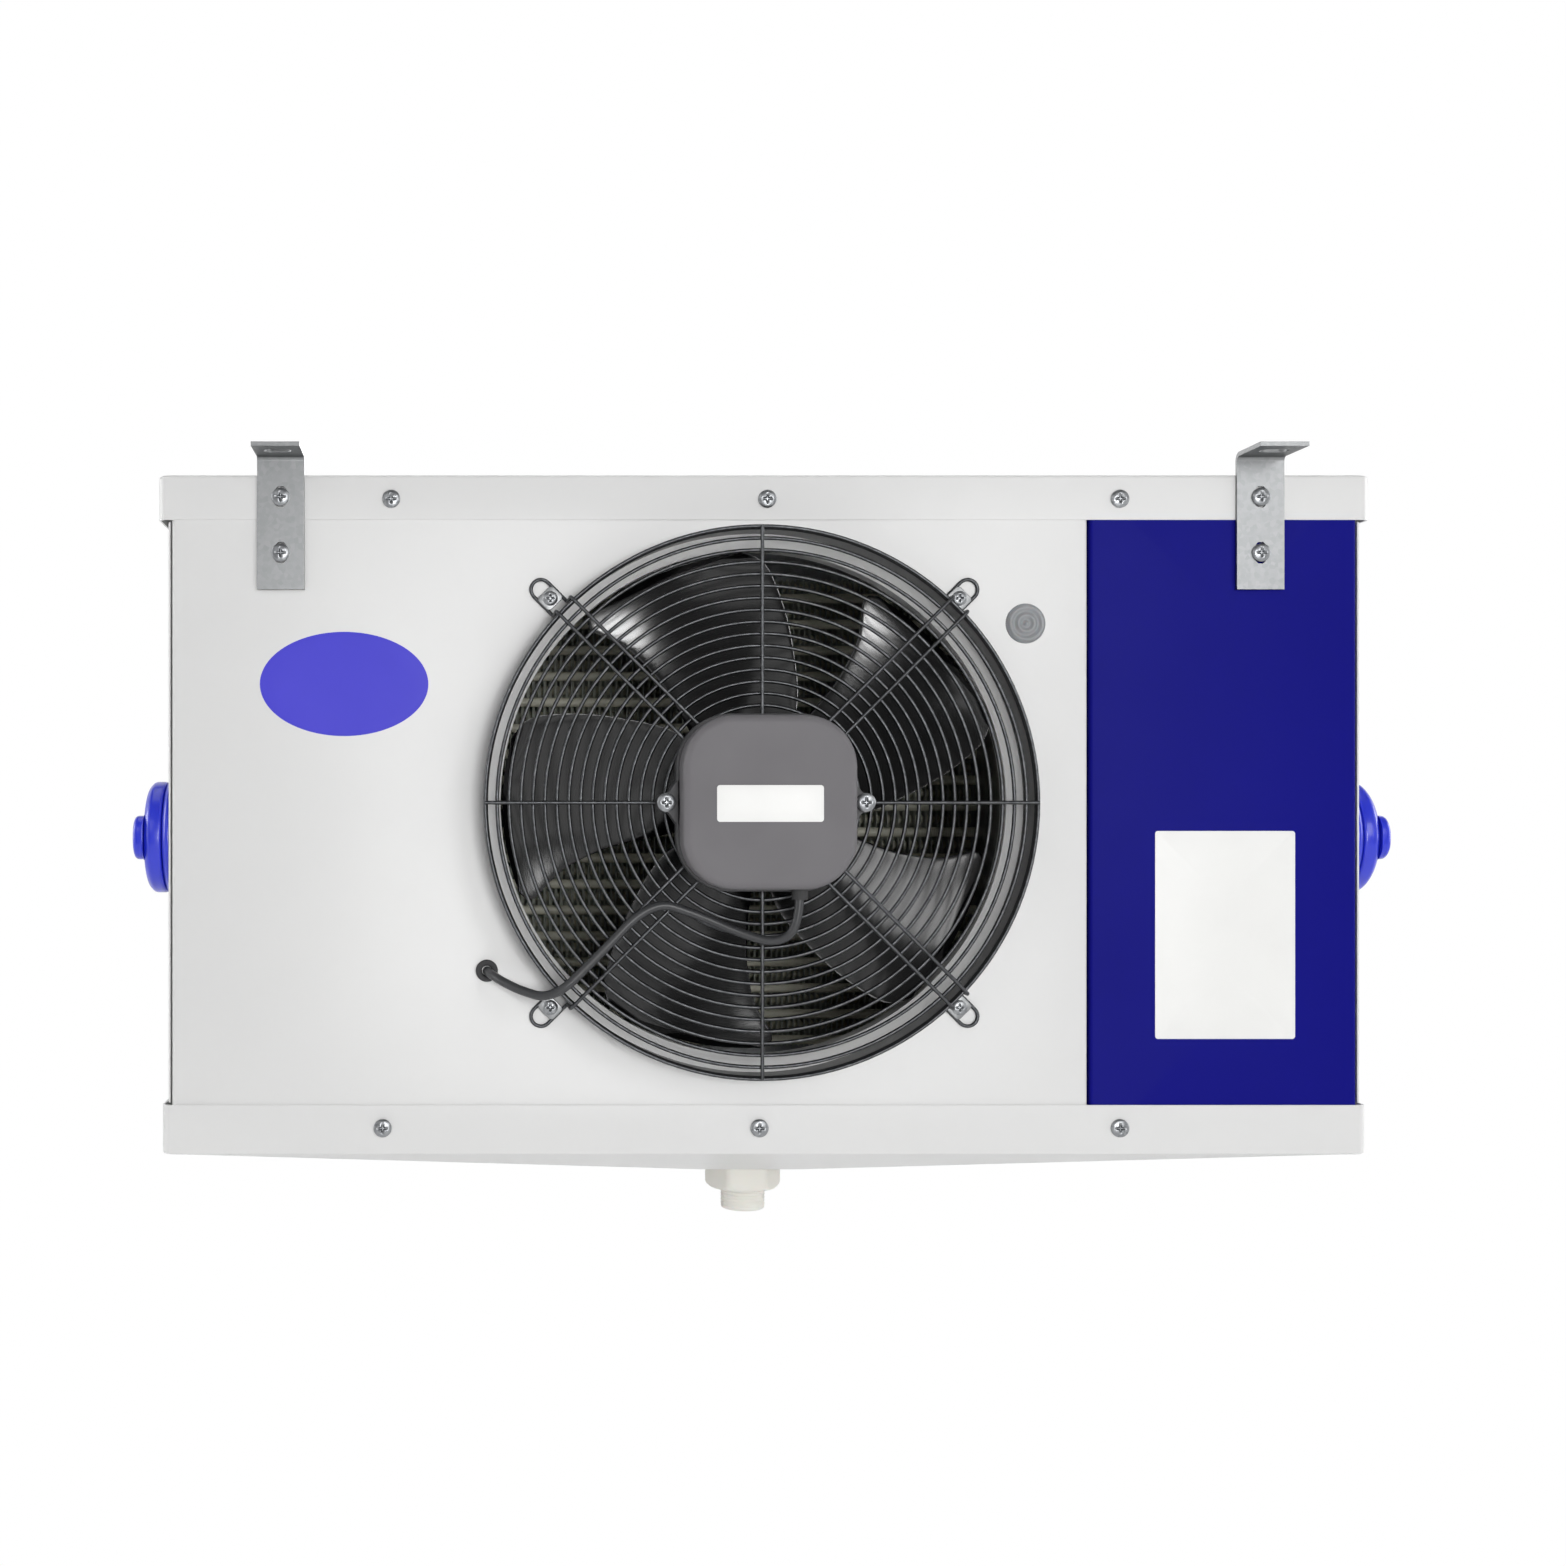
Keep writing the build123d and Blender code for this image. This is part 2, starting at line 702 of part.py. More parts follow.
def motor_housing():
    """The motor's housing: a square flange on the guard's wires, two screw bosses and a barrel."""
    plate = rounded_square(flange_size, motor_cover_radius + motor_flange_lip)
    boss_half = motor_boss_spacing / 2
    foot_x, foot_half = flange_size / 2 - sheet, 3 * motor_boss_radius
    gusset = Polygon(
        (boss_half, -motor_boss_radius), (boss_half, motor_boss_radius),
        (foot_x, foot_half), (foot_x, -foot_half), align=None,
    )
    ear = gusset + Pos(boss_half, 0) * RegularPolygon(motor_boss_radius, round_sides)
    ears = Pos(fan_x, fan_z) * (ear + Rot(0, 0, 180) * ear)
    body = front_slab(plate + ears, motor_face, guard_face)
    boss = RegularPolygon(motor_boss_radius, round_sides)
    bosses = Sketch() + [Pos(*place) * boss for place in motor_screw_places()]
    body += front_slab(bosses, motor_face - motor_boss_height, motor_face)
    body += front_slab(fan_plate(motor_radius), guard_face, housing_rear)
    pocket_rear = motor_face + sheet + bearing_width
    hollow = front_slab(fan_plate(bearing_radius + bearing_seat), motor_face + sheet, pocket_rear)
    hollow += front_slab(fan_plate(2 * shaft_radius), pocket_rear, guard_face)
    return body - hollow - front_slab(fan_plate(motor_radius - motor_wall), guard_face, housing_rear)


def motor_end_bell():
    """The rear end of the motor, with the rear bearing's pocket."""
    pocket_rear = housing_rear + bearing_width
    disc = front_slab(fan_plate(motor_radius), housing_rear, bell_rear)
    pocket = front_slab(fan_plate(bearing_radius + bearing_seat), housing_rear, pocket_rear)
    return disc - pocket - front_slab(fan_plate(2 * shaft_radius), pocket_rear, bell_rear)


def bearing(y0):
    """A ball bearing's envelope, with a running fit on the shaft."""
    return front_slab(fan_plate(bearing_radius, shaft_radius + running_fit), y0, y0 + bearing_width)


def stator_span():
    middle = (guard_face + housing_rear) / 2
    return middle - stator_length / 2, middle + stator_length / 2


def stator():
    """The wound stator in the housing's barrel."""
    ring = fan_plate(motor_radius - motor_wall - bearing_seat) - fan_plate(stator_bore)
    return front_slab(ring, *stator_span())


def motor_rotor():
    """The rotor core on the shaft; its corners clear the stator's flats by the air gap."""
    reach = stator_bore * math.cos(math.pi / round_sides) - air_gap
    return front_slab(fan_plate(reach, shaft_radius + shaft_seat), *stator_span())


def rotor_shaft():
    """The shaft from the front bearing to the fan's hub."""
    y0 = motor_face + 2 * sheet
    y1 = hub_front + hub_length / 2
    return turned([(0, y0), (shaft_radius, y0), (shaft_radius, y1), (0, y1)], fan_x, fan_z)


def motor_screw_places():
    return [(fan_x - motor_boss_spacing / 2, fan_z), (fan_x + motor_boss_spacing / 2, fan_z)]


# ---- impeller ----
def blade_outline():
    """A sickle blade as seen from the front, with its root inside the hub's wall."""
    tip_step = (blade_leading[-1] - blade_trailing[-1]) / blade_strips
    root, middle = hub_root, (hub_root + blade_tip) / 2
    trailing = [polar(root, blade_trailing[0]), polar(middle, blade_trailing[1])]
    tip = [polar(blade_tip, blade_trailing[-1] + index * tip_step) for index in range(blade_strips + 1)]
    leading = [polar(middle, blade_leading[1]), polar(root, blade_leading[0])]
    return make_face(Polyline(*trailing, *tip, *leading, close=True))


def blade():
    """A sheet cambered in flat strips, its crown to the rear, trimmed to the sickle outline."""
    middle_angle = (blade_trailing[-1] + blade_leading[-1]) / 2
    across, radial = polar(1, middle_angle + 90), polar(1, middle_angle)
    half_chord = blade_tip * math.sin(math.radians(blade_leading[-1] - middle_angle)) + blade_margin
    steps = [2 * index / blade_strips - 1 for index in range(blade_strips + 1)]
    front = [(step * half_chord, step * half_chord * blade_slope + blade_camber * (1 - step * step))
             for step in steps]
    back = [(x, y + blade_thickness) for x, y in reversed(front)]
    section = make_face(Polyline(*front, *back, close=True))
    middle_y = hub_front + (hub_length - blade_camber) / 2
    chord_plane = Plane(
        origin=(0, middle_y, 0), x_dir=(across[0], 0, across[1]), z_dir=(-radial[0], 0, -radial[1]),
    )
    rolled = extrude(chord_plane * section, amount=-throat_radius)
    return rolled & front_slab(blade_outline(), hub_front, hub_front + hub_length)


def fan_impeller():
    """The impeller: a hub cup on the shaft with sickle blades."""
    rear = hub_front + hub_length
    web = hub_front + hub_length / 4
    hub = front_slab(fan_plate(hub_radius) - fan_plate(hub_root), hub_front, rear)
    hub += front_slab(fan_plate(hub_radius), web, web + hub_wall)
    hub += front_slab(fan_plate(hub_boss_radius), hub_front, hub_front + hub_length / 2)
    hub -= front_slab(Pos(fan_x, fan_z) * Circle(shaft_radius + shaft_seat), hub_front, rear)
    first = blade()
    return hub + [about_fan(first, 360 / blade_count * index) for index in range(blade_count)]


# ---- cable, grommet, plug and gland ----
def cable_grommet():
    """A rubber grommet that snaps into the panel and holds the cable."""
    inner_lip = grommet_radius - sheet
    steps = [(grommet_radius, -grommet_height, 0), (grommet_neck, 0, sheet),
             (inner_lip, sheet, sheet + grommet_height)]
    return stepped(steps, cable_radius + 2 * hole_clearance, *grommet_place())


def blank_plug():
    """A snap-in plug with a raised rim and a raised middle."""
    head = screw_head_height
    ring = round_plate(plug_radius) - round_plate(plug_radius - plug_rim)
    rim = front_slab(Pos(plug_x, plug_z) * ring, -head, 0)
    steps = [(plug_radius, -head / 2, 0), (plug_rim, -head, 0), (plug_neck, 0, 2 * head),
             (plug_neck + sheet, sheet, 2 * sheet)]
    return rim + stepped(steps, 0, plug_x, plug_z)


def cable_end():
    """Where the cable enters the underside of the motor's cover."""
    return cable_entry_x, motor_face - cable_entry_depth, fan_z - motor_cover_size / 2


def motor_gland():
    """A small rubber gland round the cable, under the cover."""
    x, y, top = cable_end()
    bore = RegularPolygon(cable_radius + 2 * hole_clearance, round_sides)
    return plan_slab(Pos(x, y) * (round_plate(gland_radius) - bore), top - gland_length, top)


def cable_points():
    """The cable's route: out of the grommet, over the hoop by the arm, and round to the gland."""
    hole_x, hole_z = grommet_place()
    hoop_x, hoop_z = from_fan(hoop_radius + 20.9, 217.2)
    arm_x, arm_z = from_fan(hoop_radius + 6.0, 223.1)
    return [
        (hole_x, sheet + grommet_height, hole_z),
        (hole_x, -15.0, hole_z),
        (hoop_x, -31.0, hoop_z),
        (arm_x, -45.0, arm_z),
        (fan_x - 114.0, -44.0, fan_z - 105.9),
        (fan_x - 76.0, -43.6, fan_z - 66.0),
        (fan_x - 46.0, -45.0, fan_z - 75.4),
        (fan_x - 19.0, -48.0, fan_z - 87.4),
        (fan_x + 7.0, -53.5, fan_z - 95.4),
        (cable_entry_x, cable_end()[1], fan_z - 83.4),
        cable_end(),
    ]


def bend_radii(points):
    """For each inner point, 0.45 of the shorter run divided by the tangent of half the turn."""
    radii = []
    for before, here, after in zip(points, points[1:], points[2:]):
        come, leave = Vector(here) - Vector(before), Vector(after) - Vector(here)
        turn = come.get_angle(leave)
        radii.append(0.45 * min(come.length, leave.length) / math.tan(math.radians(turn / 2)))
    return radii


def fan_cable():
    """The motor's cable, along the lower left arm and into the cover from below."""
    points = cable_points()
    radii = bend_radii(points)
    path = FilletPolyline(*points, radius=radii)
    section = Plane(origin=path @ 0, z_dir=path % 0) * RegularPolygon(cable_radius, fastener_sides)
    cable = sweep(section, path=path)
    drawn = section.area * path.length
    print("cable length", round(path.length, 1), "radii", [round(radius, 1) for radius in radii])
    print("cable volume", round(cable.volume), "section times length", round(drawn))
    return cable


# ---- side doors: drawn on the right, mirrored for the left ----
def door():
    """A side door: a flat sheet with stiffening folds along the top and bottom."""
    outer, inner = half_width, half_width - sheet
    skin = block(inner, outer, door_gap, door_rear, door_bottom, door_top)
    folds = Part()
    for low in (door_bottom, door_top - sheet):
        folds += block(inner - door_flange, inner, door_flange_start, door_rear - door_gap, low, low + sheet)
    hole = side_slab(Pos(latch_y, latch_z) * round_plate(latch_neck + sheet), inner, outer)
    return skin + folds - hole


def hinge_heights():
    return (door_bottom + hinge_inset, door_top - hinge_inset)


def hinge_piece(z, knuckle, away, bore):
    """A leaf on the casing's side with one knuckle, kept back from the other leaf's knuckle."""
    start, end = hinge_relief, hinge_relief + hinge_leaf_width
    leaf_y = sorted((hinge_y + away * start, hinge_y + away * end))
    tab_y = sorted((hinge_y, hinge_y + away * start))
    piece = block(half_width, half_width + hinge_leaf, *leaf_y, z - knuckle_height, z + knuckle_height)
    piece += block(half_width + seat_gap, half_width + hinge_leaf, *tab_y, *knuckle)
    barrel = RegularPolygon(hinge_radius, 2 * fastener_sides) - Circle(bore)
    tab_end = plan_slab(Pos(hinge_x, hinge_y) * Circle(bore), *knuckle)
    return piece - tab_end + plan_slab(Pos(hinge_x, hinge_y) * barrel, *knuckle)


def hinge_fixed():
    """The leaves on the rear frame, with the lower knuckles."""
    bore = hinge_pin + shaft_seat
    return [hinge_piece(z, (z - knuckle_height, z - knuckle_gap), 1, bore) for z in hinge_heights()]


def hinge_moving():
    """The leaves on the door, with the upper knuckles."""
    bore = hinge_pin + running_fit
    return [hinge_piece(z, (z, z + knuckle_height), -1, bore) for z in hinge_heights()]


def hinge_pins():
    """The pins, held by the lower knuckles."""
    pin = Pos(hinge_x, hinge_y) * Circle(hinge_pin)
    return [plan_slab(pin, z - knuckle_height, z + knuckle_height) for z in hinge_heights()]


def bevelled_disc(outline, x0, x1, bevel):
    """An outline round the latch's axis, extruded outwards and bevelled on its outer edge."""
    disc = side_slab(Pos(latch_y, latch_z) * outline, x0, x1)
    return chamfer(disc.faces().sort_by(Axis.X)[-1].edges(), bevel)


def latch_base():
    """The fixed rosette under the latch's knob."""
    top = half_width + latch_base_height
    rosette = bevelled_disc(round_plate(latch_base_radius), half_width, top, latch_base_height / 2)
    bore = Pos(latch_y, latch_z) * Circle(latch_neck + running_fit)
    return rosette - side_slab(bore, half_width, top)


def latch_knob():
    """The quarter-turn knob: a bevelled disc with a grip bar and a neck through the door."""
    back = half_width + latch_base_height + latch_float
    front = back + latch_knob_height
    disc = bevelled_disc(round_plate(latch_knob_radius), back, front, latch_knob_bevel)
    grip_shape = Rectangle(latch_grip_length, latch_grip_height)
    grip = bevelled_disc(grip_shape, front, front + latch_grip_rise, latch_grip_bevel)
    neck = Pos(latch_y, latch_z) * Circle(latch_neck)
    return disc + grip + side_slab(neck, half_width - tongue_inset, back)


def latch_tongue():
    """The tongue on the knob's neck; it points up when open and forwards when locked."""
    outer = half_width - tongue_inset
    shape = Pos(latch_y, latch_z) * RegularPolygon(tongue_width / 2, 2 * fastener_sides)
    shape += Pos(latch_y, latch_z + tongue_length / 2) * Rectangle(tongue_width, tongue_length)
    return side_slab(shape, outer - tongue_thickness, outer)


# ---- terminal box in the left compartment ----
def terminal_box():
    """A small moulded box on the left end plate, open to the outside."""
    seat = coil_left - end_plate
    outer = side_slab(rect(*box_y, *box_z), seat - box_depth, seat)
    outer = chamfer(outer.edges().filter_by(Axis.X), box_wall)
    room = rect(box_y[0] + box_wall, box_y[1] - box_wall, box_z[0] + box_wall, box_z[1] - box_wall)
    return outer - side_slab(room, seat - box_depth, seat - box_wall)


def terminal_box_lid():
    front = coil_left - end_plate - box_depth
    plate = side_slab(rect(*box_y, *box_z), front - 2 * box_wall, front)
    return chamfer(plate.edges().filter_by(Axis.X), box_wall)


def write(name, shape):
    """One node: its solids, moved to the hanging datum, in one STEP file."""
    pieces = shape if isinstance(shape, list) else [shape]
    solids = [solid for piece in pieces for solid in piece.solids()]
    moved = [to_hanging * solid for solid in solids]
    export_step(Compound(children=moved) if len(moved) > 1 else moved[0], f"parts/{name}.step")


def both_sides(name, shape):
    """A piece drawn for the right-hand side and its mirror image for the left."""
    pieces = shape if isinstance(shape, list) else [shape]
    write(f"right_{name}", pieces)
    write(f"left_{name}", [mirror(piece, Plane.YZ) for piece in pieces])


os.makedirs("parts", exist_ok=True)
write("top_lid", lid())
write("front_panel", front_panel())
write("service_cover", service_cover())
write("rear_frame", rear_frame())
write("left_end_plate", coil_end_plate(-1))
write("right_end_plate", coil_end_plate(1))
write("coil_fins", coil_fins())
write("coil_tubes", coil_tubes())
write("suction_header", suction_header())
write("liquid_distributor", liquid_distributor())
write("feeder_tubes", feeder_tubes())
write("pipe_grommets", pipe_grommets())
write("drain_tray", drain_tray())
write("drain_stub", drain_stub())
write("drain_gasket", drain_gasket())
write("drain_nut", drain_nut())
for side_name, hanger_x in zip(("left", "right"), hanger_places):
    write(f"hanger_front_{side_name}", hanger(hanger_x, rear=False))
    write(f"hanger_rear_{side_name}", hanger(hanger_x, rear=True))
write("hanger_screws", front_and_rear_screws(strap_screw_places(), strap_face))
write("lid_screws", front_and_rear_screws(lid_screw_places(), sheet))
write("tray_screws", front_and_rear_screws(tray_screw_places(), sheet))
write("guard_hoop", guard_hoop())
write("guard_grille", guard_grille())
write("guard_screws", screws(guard_screw_places(), -wire, screw_bite))
write("motor_housing", motor_housing())
write("motor_end_bell", motor_end_bell())
write("motor_cover", motor_cover())
write("motor_gland", motor_gland())
write("motor_screws", screws(motor_screw_places(), motor_face - motor_boss_height, guard_face))
write("front_bearing", bearing(motor_face + sheet))
write("rear_bearing", bearing(housing_rear))
write("stator", stator())
write("motor_rotor", motor_rotor())
write("rotor_shaft", rotor_shaft())
write("fan_impeller", fan_impeller())
write("cable_grommet", cable_grommet())
write("blank_plug", blank_plug())
write("fan_cable", fan_cable())
write("terminal_box", terminal_box())
write("terminal_box_lid", terminal_box_lid())
both_sides("door", door())
both_sides("hinge_fixed", hinge_fixed())
both_sides("hinge_moving", hinge_moving())
both_sides("hinge_pins", hinge_pins())
both_sides("latch_base", latch_base())
both_sides("latch_knob", latch_knob())
both_sides("latch_tongue", latch_tongue())
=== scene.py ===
# %% [markdown]
# A walk-in unit cooler hangs under the ceiling of a cold room. One axial fan draws air through a
# finned coil, and melt water runs off in a sloping tray. Its pieces come in here as a fixed frame of
# solids. This lesson gives them their finish, and replaces the pieces whose roundness shows, such as
# the wire guard and the blades, by surfaces worked out with numpy.

# %% Load the frame
import json
import math

import bmesh
import bpy
import numpy as np
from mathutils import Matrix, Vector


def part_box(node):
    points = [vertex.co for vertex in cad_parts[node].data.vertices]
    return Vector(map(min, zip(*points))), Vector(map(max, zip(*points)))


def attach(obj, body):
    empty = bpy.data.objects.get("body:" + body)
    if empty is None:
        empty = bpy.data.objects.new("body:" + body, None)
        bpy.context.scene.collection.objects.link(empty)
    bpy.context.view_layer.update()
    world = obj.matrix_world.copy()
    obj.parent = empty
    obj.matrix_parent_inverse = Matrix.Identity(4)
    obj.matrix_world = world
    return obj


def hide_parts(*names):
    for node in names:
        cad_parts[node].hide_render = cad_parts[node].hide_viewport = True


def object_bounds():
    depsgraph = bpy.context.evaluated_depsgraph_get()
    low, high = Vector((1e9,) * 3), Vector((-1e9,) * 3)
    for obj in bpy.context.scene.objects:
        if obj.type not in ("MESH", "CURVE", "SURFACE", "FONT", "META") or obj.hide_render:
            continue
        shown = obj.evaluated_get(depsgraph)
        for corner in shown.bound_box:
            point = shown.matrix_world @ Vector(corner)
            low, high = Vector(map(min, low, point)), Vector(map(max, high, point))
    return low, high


def corners(node):
    """The lowest and highest corner of a CAD node's box, as two rows."""
    return np.array(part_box(node))


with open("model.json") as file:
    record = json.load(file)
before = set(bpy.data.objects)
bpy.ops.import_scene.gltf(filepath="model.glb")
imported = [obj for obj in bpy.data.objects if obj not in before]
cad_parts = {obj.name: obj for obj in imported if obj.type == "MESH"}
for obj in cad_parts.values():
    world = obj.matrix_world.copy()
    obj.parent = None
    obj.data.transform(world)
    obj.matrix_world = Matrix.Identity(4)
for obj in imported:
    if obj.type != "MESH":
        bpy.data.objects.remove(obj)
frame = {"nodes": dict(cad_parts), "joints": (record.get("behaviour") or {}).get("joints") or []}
cad_low, cad_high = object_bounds()
joints = {joint["name"]: joint for joint in frame["joints"]}
fan_x, _, fan_z = joints["fan_spin"]["pos_m"]
fan_axis = (fan_x, 0, fan_z)
panel_face = corners("front_panel")[0][1]
print("overall size", [round(side, 3) for side in cad_high - cad_low])

# %% [markdown]
# The camera comes first, because the frame measures cords against its view. It looks straight at
# the fan panel from 1.35 m, from a place left of the fan, and the shift slides the picture across so
# that the casing is in it. The front stays a true rectangle, and only what stands proud leans out.

# %% Camera
camera_distance = 1.350
camera_place = (-0.2133, panel_face - camera_distance, -0.253)
camera_data = bpy.data.cameras.new("camera")
camera_data.lens = 44.33
camera_data.sensor_width = 36.0
camera_data.shift_x = 0.203
camera_data.shift_y = 0.0204
camera = bpy.data.objects.new("camera", camera_data)
camera.location = camera_place
camera.rotation_euler = (math.radians(90), 0, 0)
bpy.context.scene.collection.objects.link(camera)
bpy.context.scene.camera = camera
bpy.context.scene.view_settings.view_transform = "Standard"
print("camera at", camera_place)

# %% [markdown]
# Materials are node trees, and a few small helpers are enough for all of them. They turn a written
# colour to linear light, add a node with its settings and links, start a material with its shader,
# and give a length in millimetres as the scale of a texture. The last ones lead a texture to the
# colour, the roughness and the bump, and put all of that together for a surface of two scales.

# %% Material helpers
def linear(hex_colour):
    """An sRGB hex colour as linear RGBA: the low part is a line, the rest a power of 2.4."""
    channels = np.array([int(hex_colour[place:place + 2], 16) for place in (1, 3, 5)]) / 255
    toe = channels / 12.92
    curve = ((channels + 0.055) / 1.055) ** 2.4
    return (*np.where(channels <= 0.04045, toe, curve).tolist(), 1.0)


def add_node(tree, kind, settings=None, links=None):
    """Adds a node, sets its sockets or properties by name, and links its inputs."""
    node = tree.nodes.new(kind)
    for key, value in (settings or {}).items():
        if isinstance(key, int) or key in node.inputs:
            node.inputs[key].default_value = value
        else:
            setattr(node, key, value)
    for socket, source in (links or {}).items():
        tree.links.new(source, node.inputs[socket])
    return node


def start_material(name, **shader):
    """A material with one Principled shader; returns it with its tree, shader and coordinates."""
    material = bpy.data.materials.new(name)
    material.use_nodes = True
    tree = material.node_tree
    surface = tree.nodes["Principled BSDF"]
    for socket, value in shader.items():
        surface.inputs[socket.replace("_", " ")].default_value = value
    place = add_node(tree, "ShaderNodeTexCoord").outputs["Object"]
    return material, tree, surface, place


def per_metre(millimetres):
    """The scale of a texture whose features are about this many millimetres across."""
    return 1000 / millimetres


def two_tone(tree, surface, factor, first, second):
    """Mixes two colours by a texture and feeds the base colour."""
    colours = {"data_type": "RGBA", 6: linear(first), 7: linear(second)}
    mix = add_node(tree, "ShaderNodeMix", colours, {0: factor})
    tree.links.new(mix.outputs[2], surface.inputs["Base Color"])


def roughness_range(tree, surface, factor, low, high):
    """Spreads a texture over a range of roughness."""
    spread = add_node(tree, "ShaderNodeMapRange", {"To Min": low, "To Max": high}, {"Value": factor})
    tree.links.new(spread.outputs["Result"], surface.inputs["Roughness"])


def relief(tree, surface, height, depth_mm, strength):
    """Bumps the surface by a texture, by at most the given depth."""
    bump = add_node(
        tree, "ShaderNodeBump", {"Strength": strength, "Distance": depth_mm / 1000}, {"Height": height}
    )
    tree.links.new(bump.outputs["Normal"], surface.inputs["Normal"])


def two_scales(name, tones, roughness, spread, wide, fine, bump, **shader):
    """A wide noise mixes two tones and spreads the roughness down and up, a fine noise bumps the
    surface. A noise is (millimetres, detail), the bump is (depth in millimetres, strength)."""
    material, tree, surface, place = start_material(name, Roughness=roughness, **shader)
    clouds, grain = (
        add_node(
            tree, "ShaderNodeTexNoise", {"Scale": per_metre(across), "Detail": detail}, {"Vector": place}
        ).outputs[0]
        for across, detail in (wide, fine)
    )
    two_tone(tree, surface, clouds, *tones)
    roughness_range(tree, surface, clouds, roughness - spread[0], roughness + spread[1])
    relief(tree, surface, grain, *bump)
    return material


# %% [markdown]
# Powder coat is paint that was sprayed as dust on the steel sheet and then baked. It melts into a
# skin with a very fine orange peel and a half gloss. Two noises make it: one at the peel's real
# size for the bump, and one as wide as a hand for the faint clouds that large flat sheets show.

# %% Powder-coated steel
def powder_coat(name, light, dark, roughness=0.42, peel_mm=1.4, coat=0.15, **shader):
    return two_scales(
        name, (light, dark), roughness, (0.06, 0.08), (180, 3.0), (peel_mm, 2.0), (0.03, 0.35),
        Coat_Weight=coat, Coat_Roughness=0.3, **shader,
    )


white_paint = powder_coat("white_powder_coat", "#DFDFDE", "#D8D8D8")
blue_paint = powder_coat(
    "dark_blue_powder_coat", "#0E0F82", "#0B0B76", 0.5, coat=0.0, Specular_IOR_Level=0.08
)
hoop_enamel = powder_coat("black_dip_enamel", "#3A3B3D", "#2A2B2C", 0.38, peel_mm=2.5, coat=0.3)
print("paints made")


# %% [markdown]
# Zinc-plated sheet and wire are bright steel with a thin skin of zinc. The sheet shows soft
# spangles, a crystal pattern some millimetres wide, in tone, and a fine grain in roughness. The
# hanger straps are the same plate gone dull. The wire was drawn through a die, so its gloss is
# broken by short streaks. All are metals: the base colour is the colour of the reflection.

# %% Zinc-plated sheet
def zinc_plate(name, light, dark, spangle_mm=7.0, roughness=0.38):
    material, tree, surface, place = start_material(name, Metallic=1.0, Roughness=roughness)
    spangle = add_node(tree, "ShaderNodeTexVoronoi", {"Scale": per_metre(spangle_mm)}, {"Vector": place})
    grain = add_node(tree, "ShaderNodeTexNoise", {"Scale": per_metre(0.8), "Detail": 3.0}, {"Vector": place})
    two_tone(tree, surface, spangle.outputs["Color"], light, dark)
    roughness_range(tree, surface, grain.outputs[0], roughness - 0.08, roughness + 0.12)
    relief(tree, surface, grain.outputs[0], 0.02, 0.25)
    return material


zinc_sheet = zinc_plate("zinc_plated_sheet", "#B9BBBD", "#A6A8AB")
hanger_zinc = zinc_plate("dull_zinc_plated_strap", "#8E8F90", "#838586", spangle_mm=3.0)
screw_zinc = zinc_plate("zinc_plated_screw", "#A2A4A6", "#7E8083", spangle_mm=2.0, roughness=0.34)


# %% Drawn and plated guard wire
guard_steel, tree, surface, place = start_material("drawn_guard_wire", Metallic=1.0, Roughness=0.32)
streaks = add_node(tree, "ShaderNodeTexNoise", {"Scale": per_metre(2.5), "Detail": 4.0}, {"Vector": place})
two_tone(tree, surface, streaks.outputs[0], "#626365", "#2A2C2E")
roughness_range(tree, surface, streaks.outputs[0], 0.28, 0.46)
print("metals made")


# %% [markdown]
# Mouldings take the finish of their mould. The motor's cap is spark-eroded, which leaves an even
# matt grain. The fan's blades come from a polished mould, so they are near black and glossy, with
# slow waves where the plastic shrank. The drain fitting and the latches are plain and smooth, with
# a little light going into the plastic.

# %% Moulded plastics
def moulding(name, light, dark, roughness, grain_mm=0.6, grain_depth=0.02, glow=0.0, coat=0.0):
    return two_scales(
        name, (light, dark), roughness, (0.04, 0.06), (45, 2.0), (grain_mm, 2.0), (grain_depth, 0.4),
        Coat_Weight=coat, Coat_Roughness=0.12, Subsurface_Weight=glow, Subsurface_Scale=0.002,
    )


cap_grey = moulding("spark_grained_polyamide", "#6E6C6F", "#656366", 0.62, grain_mm=0.9, grain_depth=0.04)
blade_black = moulding(
    "polished_black_polyamide", "#0D0D0E", "#070708", 0.16, grain_mm=6.0, grain_depth=0.01, coat=0.6
)
fitting_white = moulding("warm_white_nylon", "#E2E0DA", "#D8D6CE", 0.45, glow=0.1)
latch_blue = moulding("blue_acetal", "#2A37D4", "#2230BE", 0.3, glow=0.05, coat=0.3)
plug_grey = moulding("grey_polyethylene", "#A0A2A4", "#8F9194", 0.5, glow=0.1)
box_grey = moulding("light_grey_abs", "#B9BBBD", "#AFB1B3", 0.5)
rubber_black = moulding("black_epdm_rubber", "#3A3A3B", "#2B2B2C", 0.68, grain_mm=0.7)
cable_sheath = moulding("black_cable_sheath", "#3A3B3D", "#2C2D2F", 0.38, grain_mm=1.2)
print("plastics made")


# %% [markdown]
# The motor's body is a die-casting, dipped in dark paint: it has the dull, slightly lumpy skin of
# sand and scale. Copper tube in an old coil has lost its shine under a pale film, and so it is
# drawn as a coating and not as a metal. The fins are thin aluminium under a pale grey-green lacquer.

# %% Castings, copper, brass and fins
def bare_metal(name, light, dark, roughness, metallic, lump_mm, depth_mm):
    return two_scales(
        name, (light, dark), roughness, (0.08, 0.1), (22, 3.0), (lump_mm, 4.0), (depth_mm, 0.5),
        Metallic=metallic,
    )


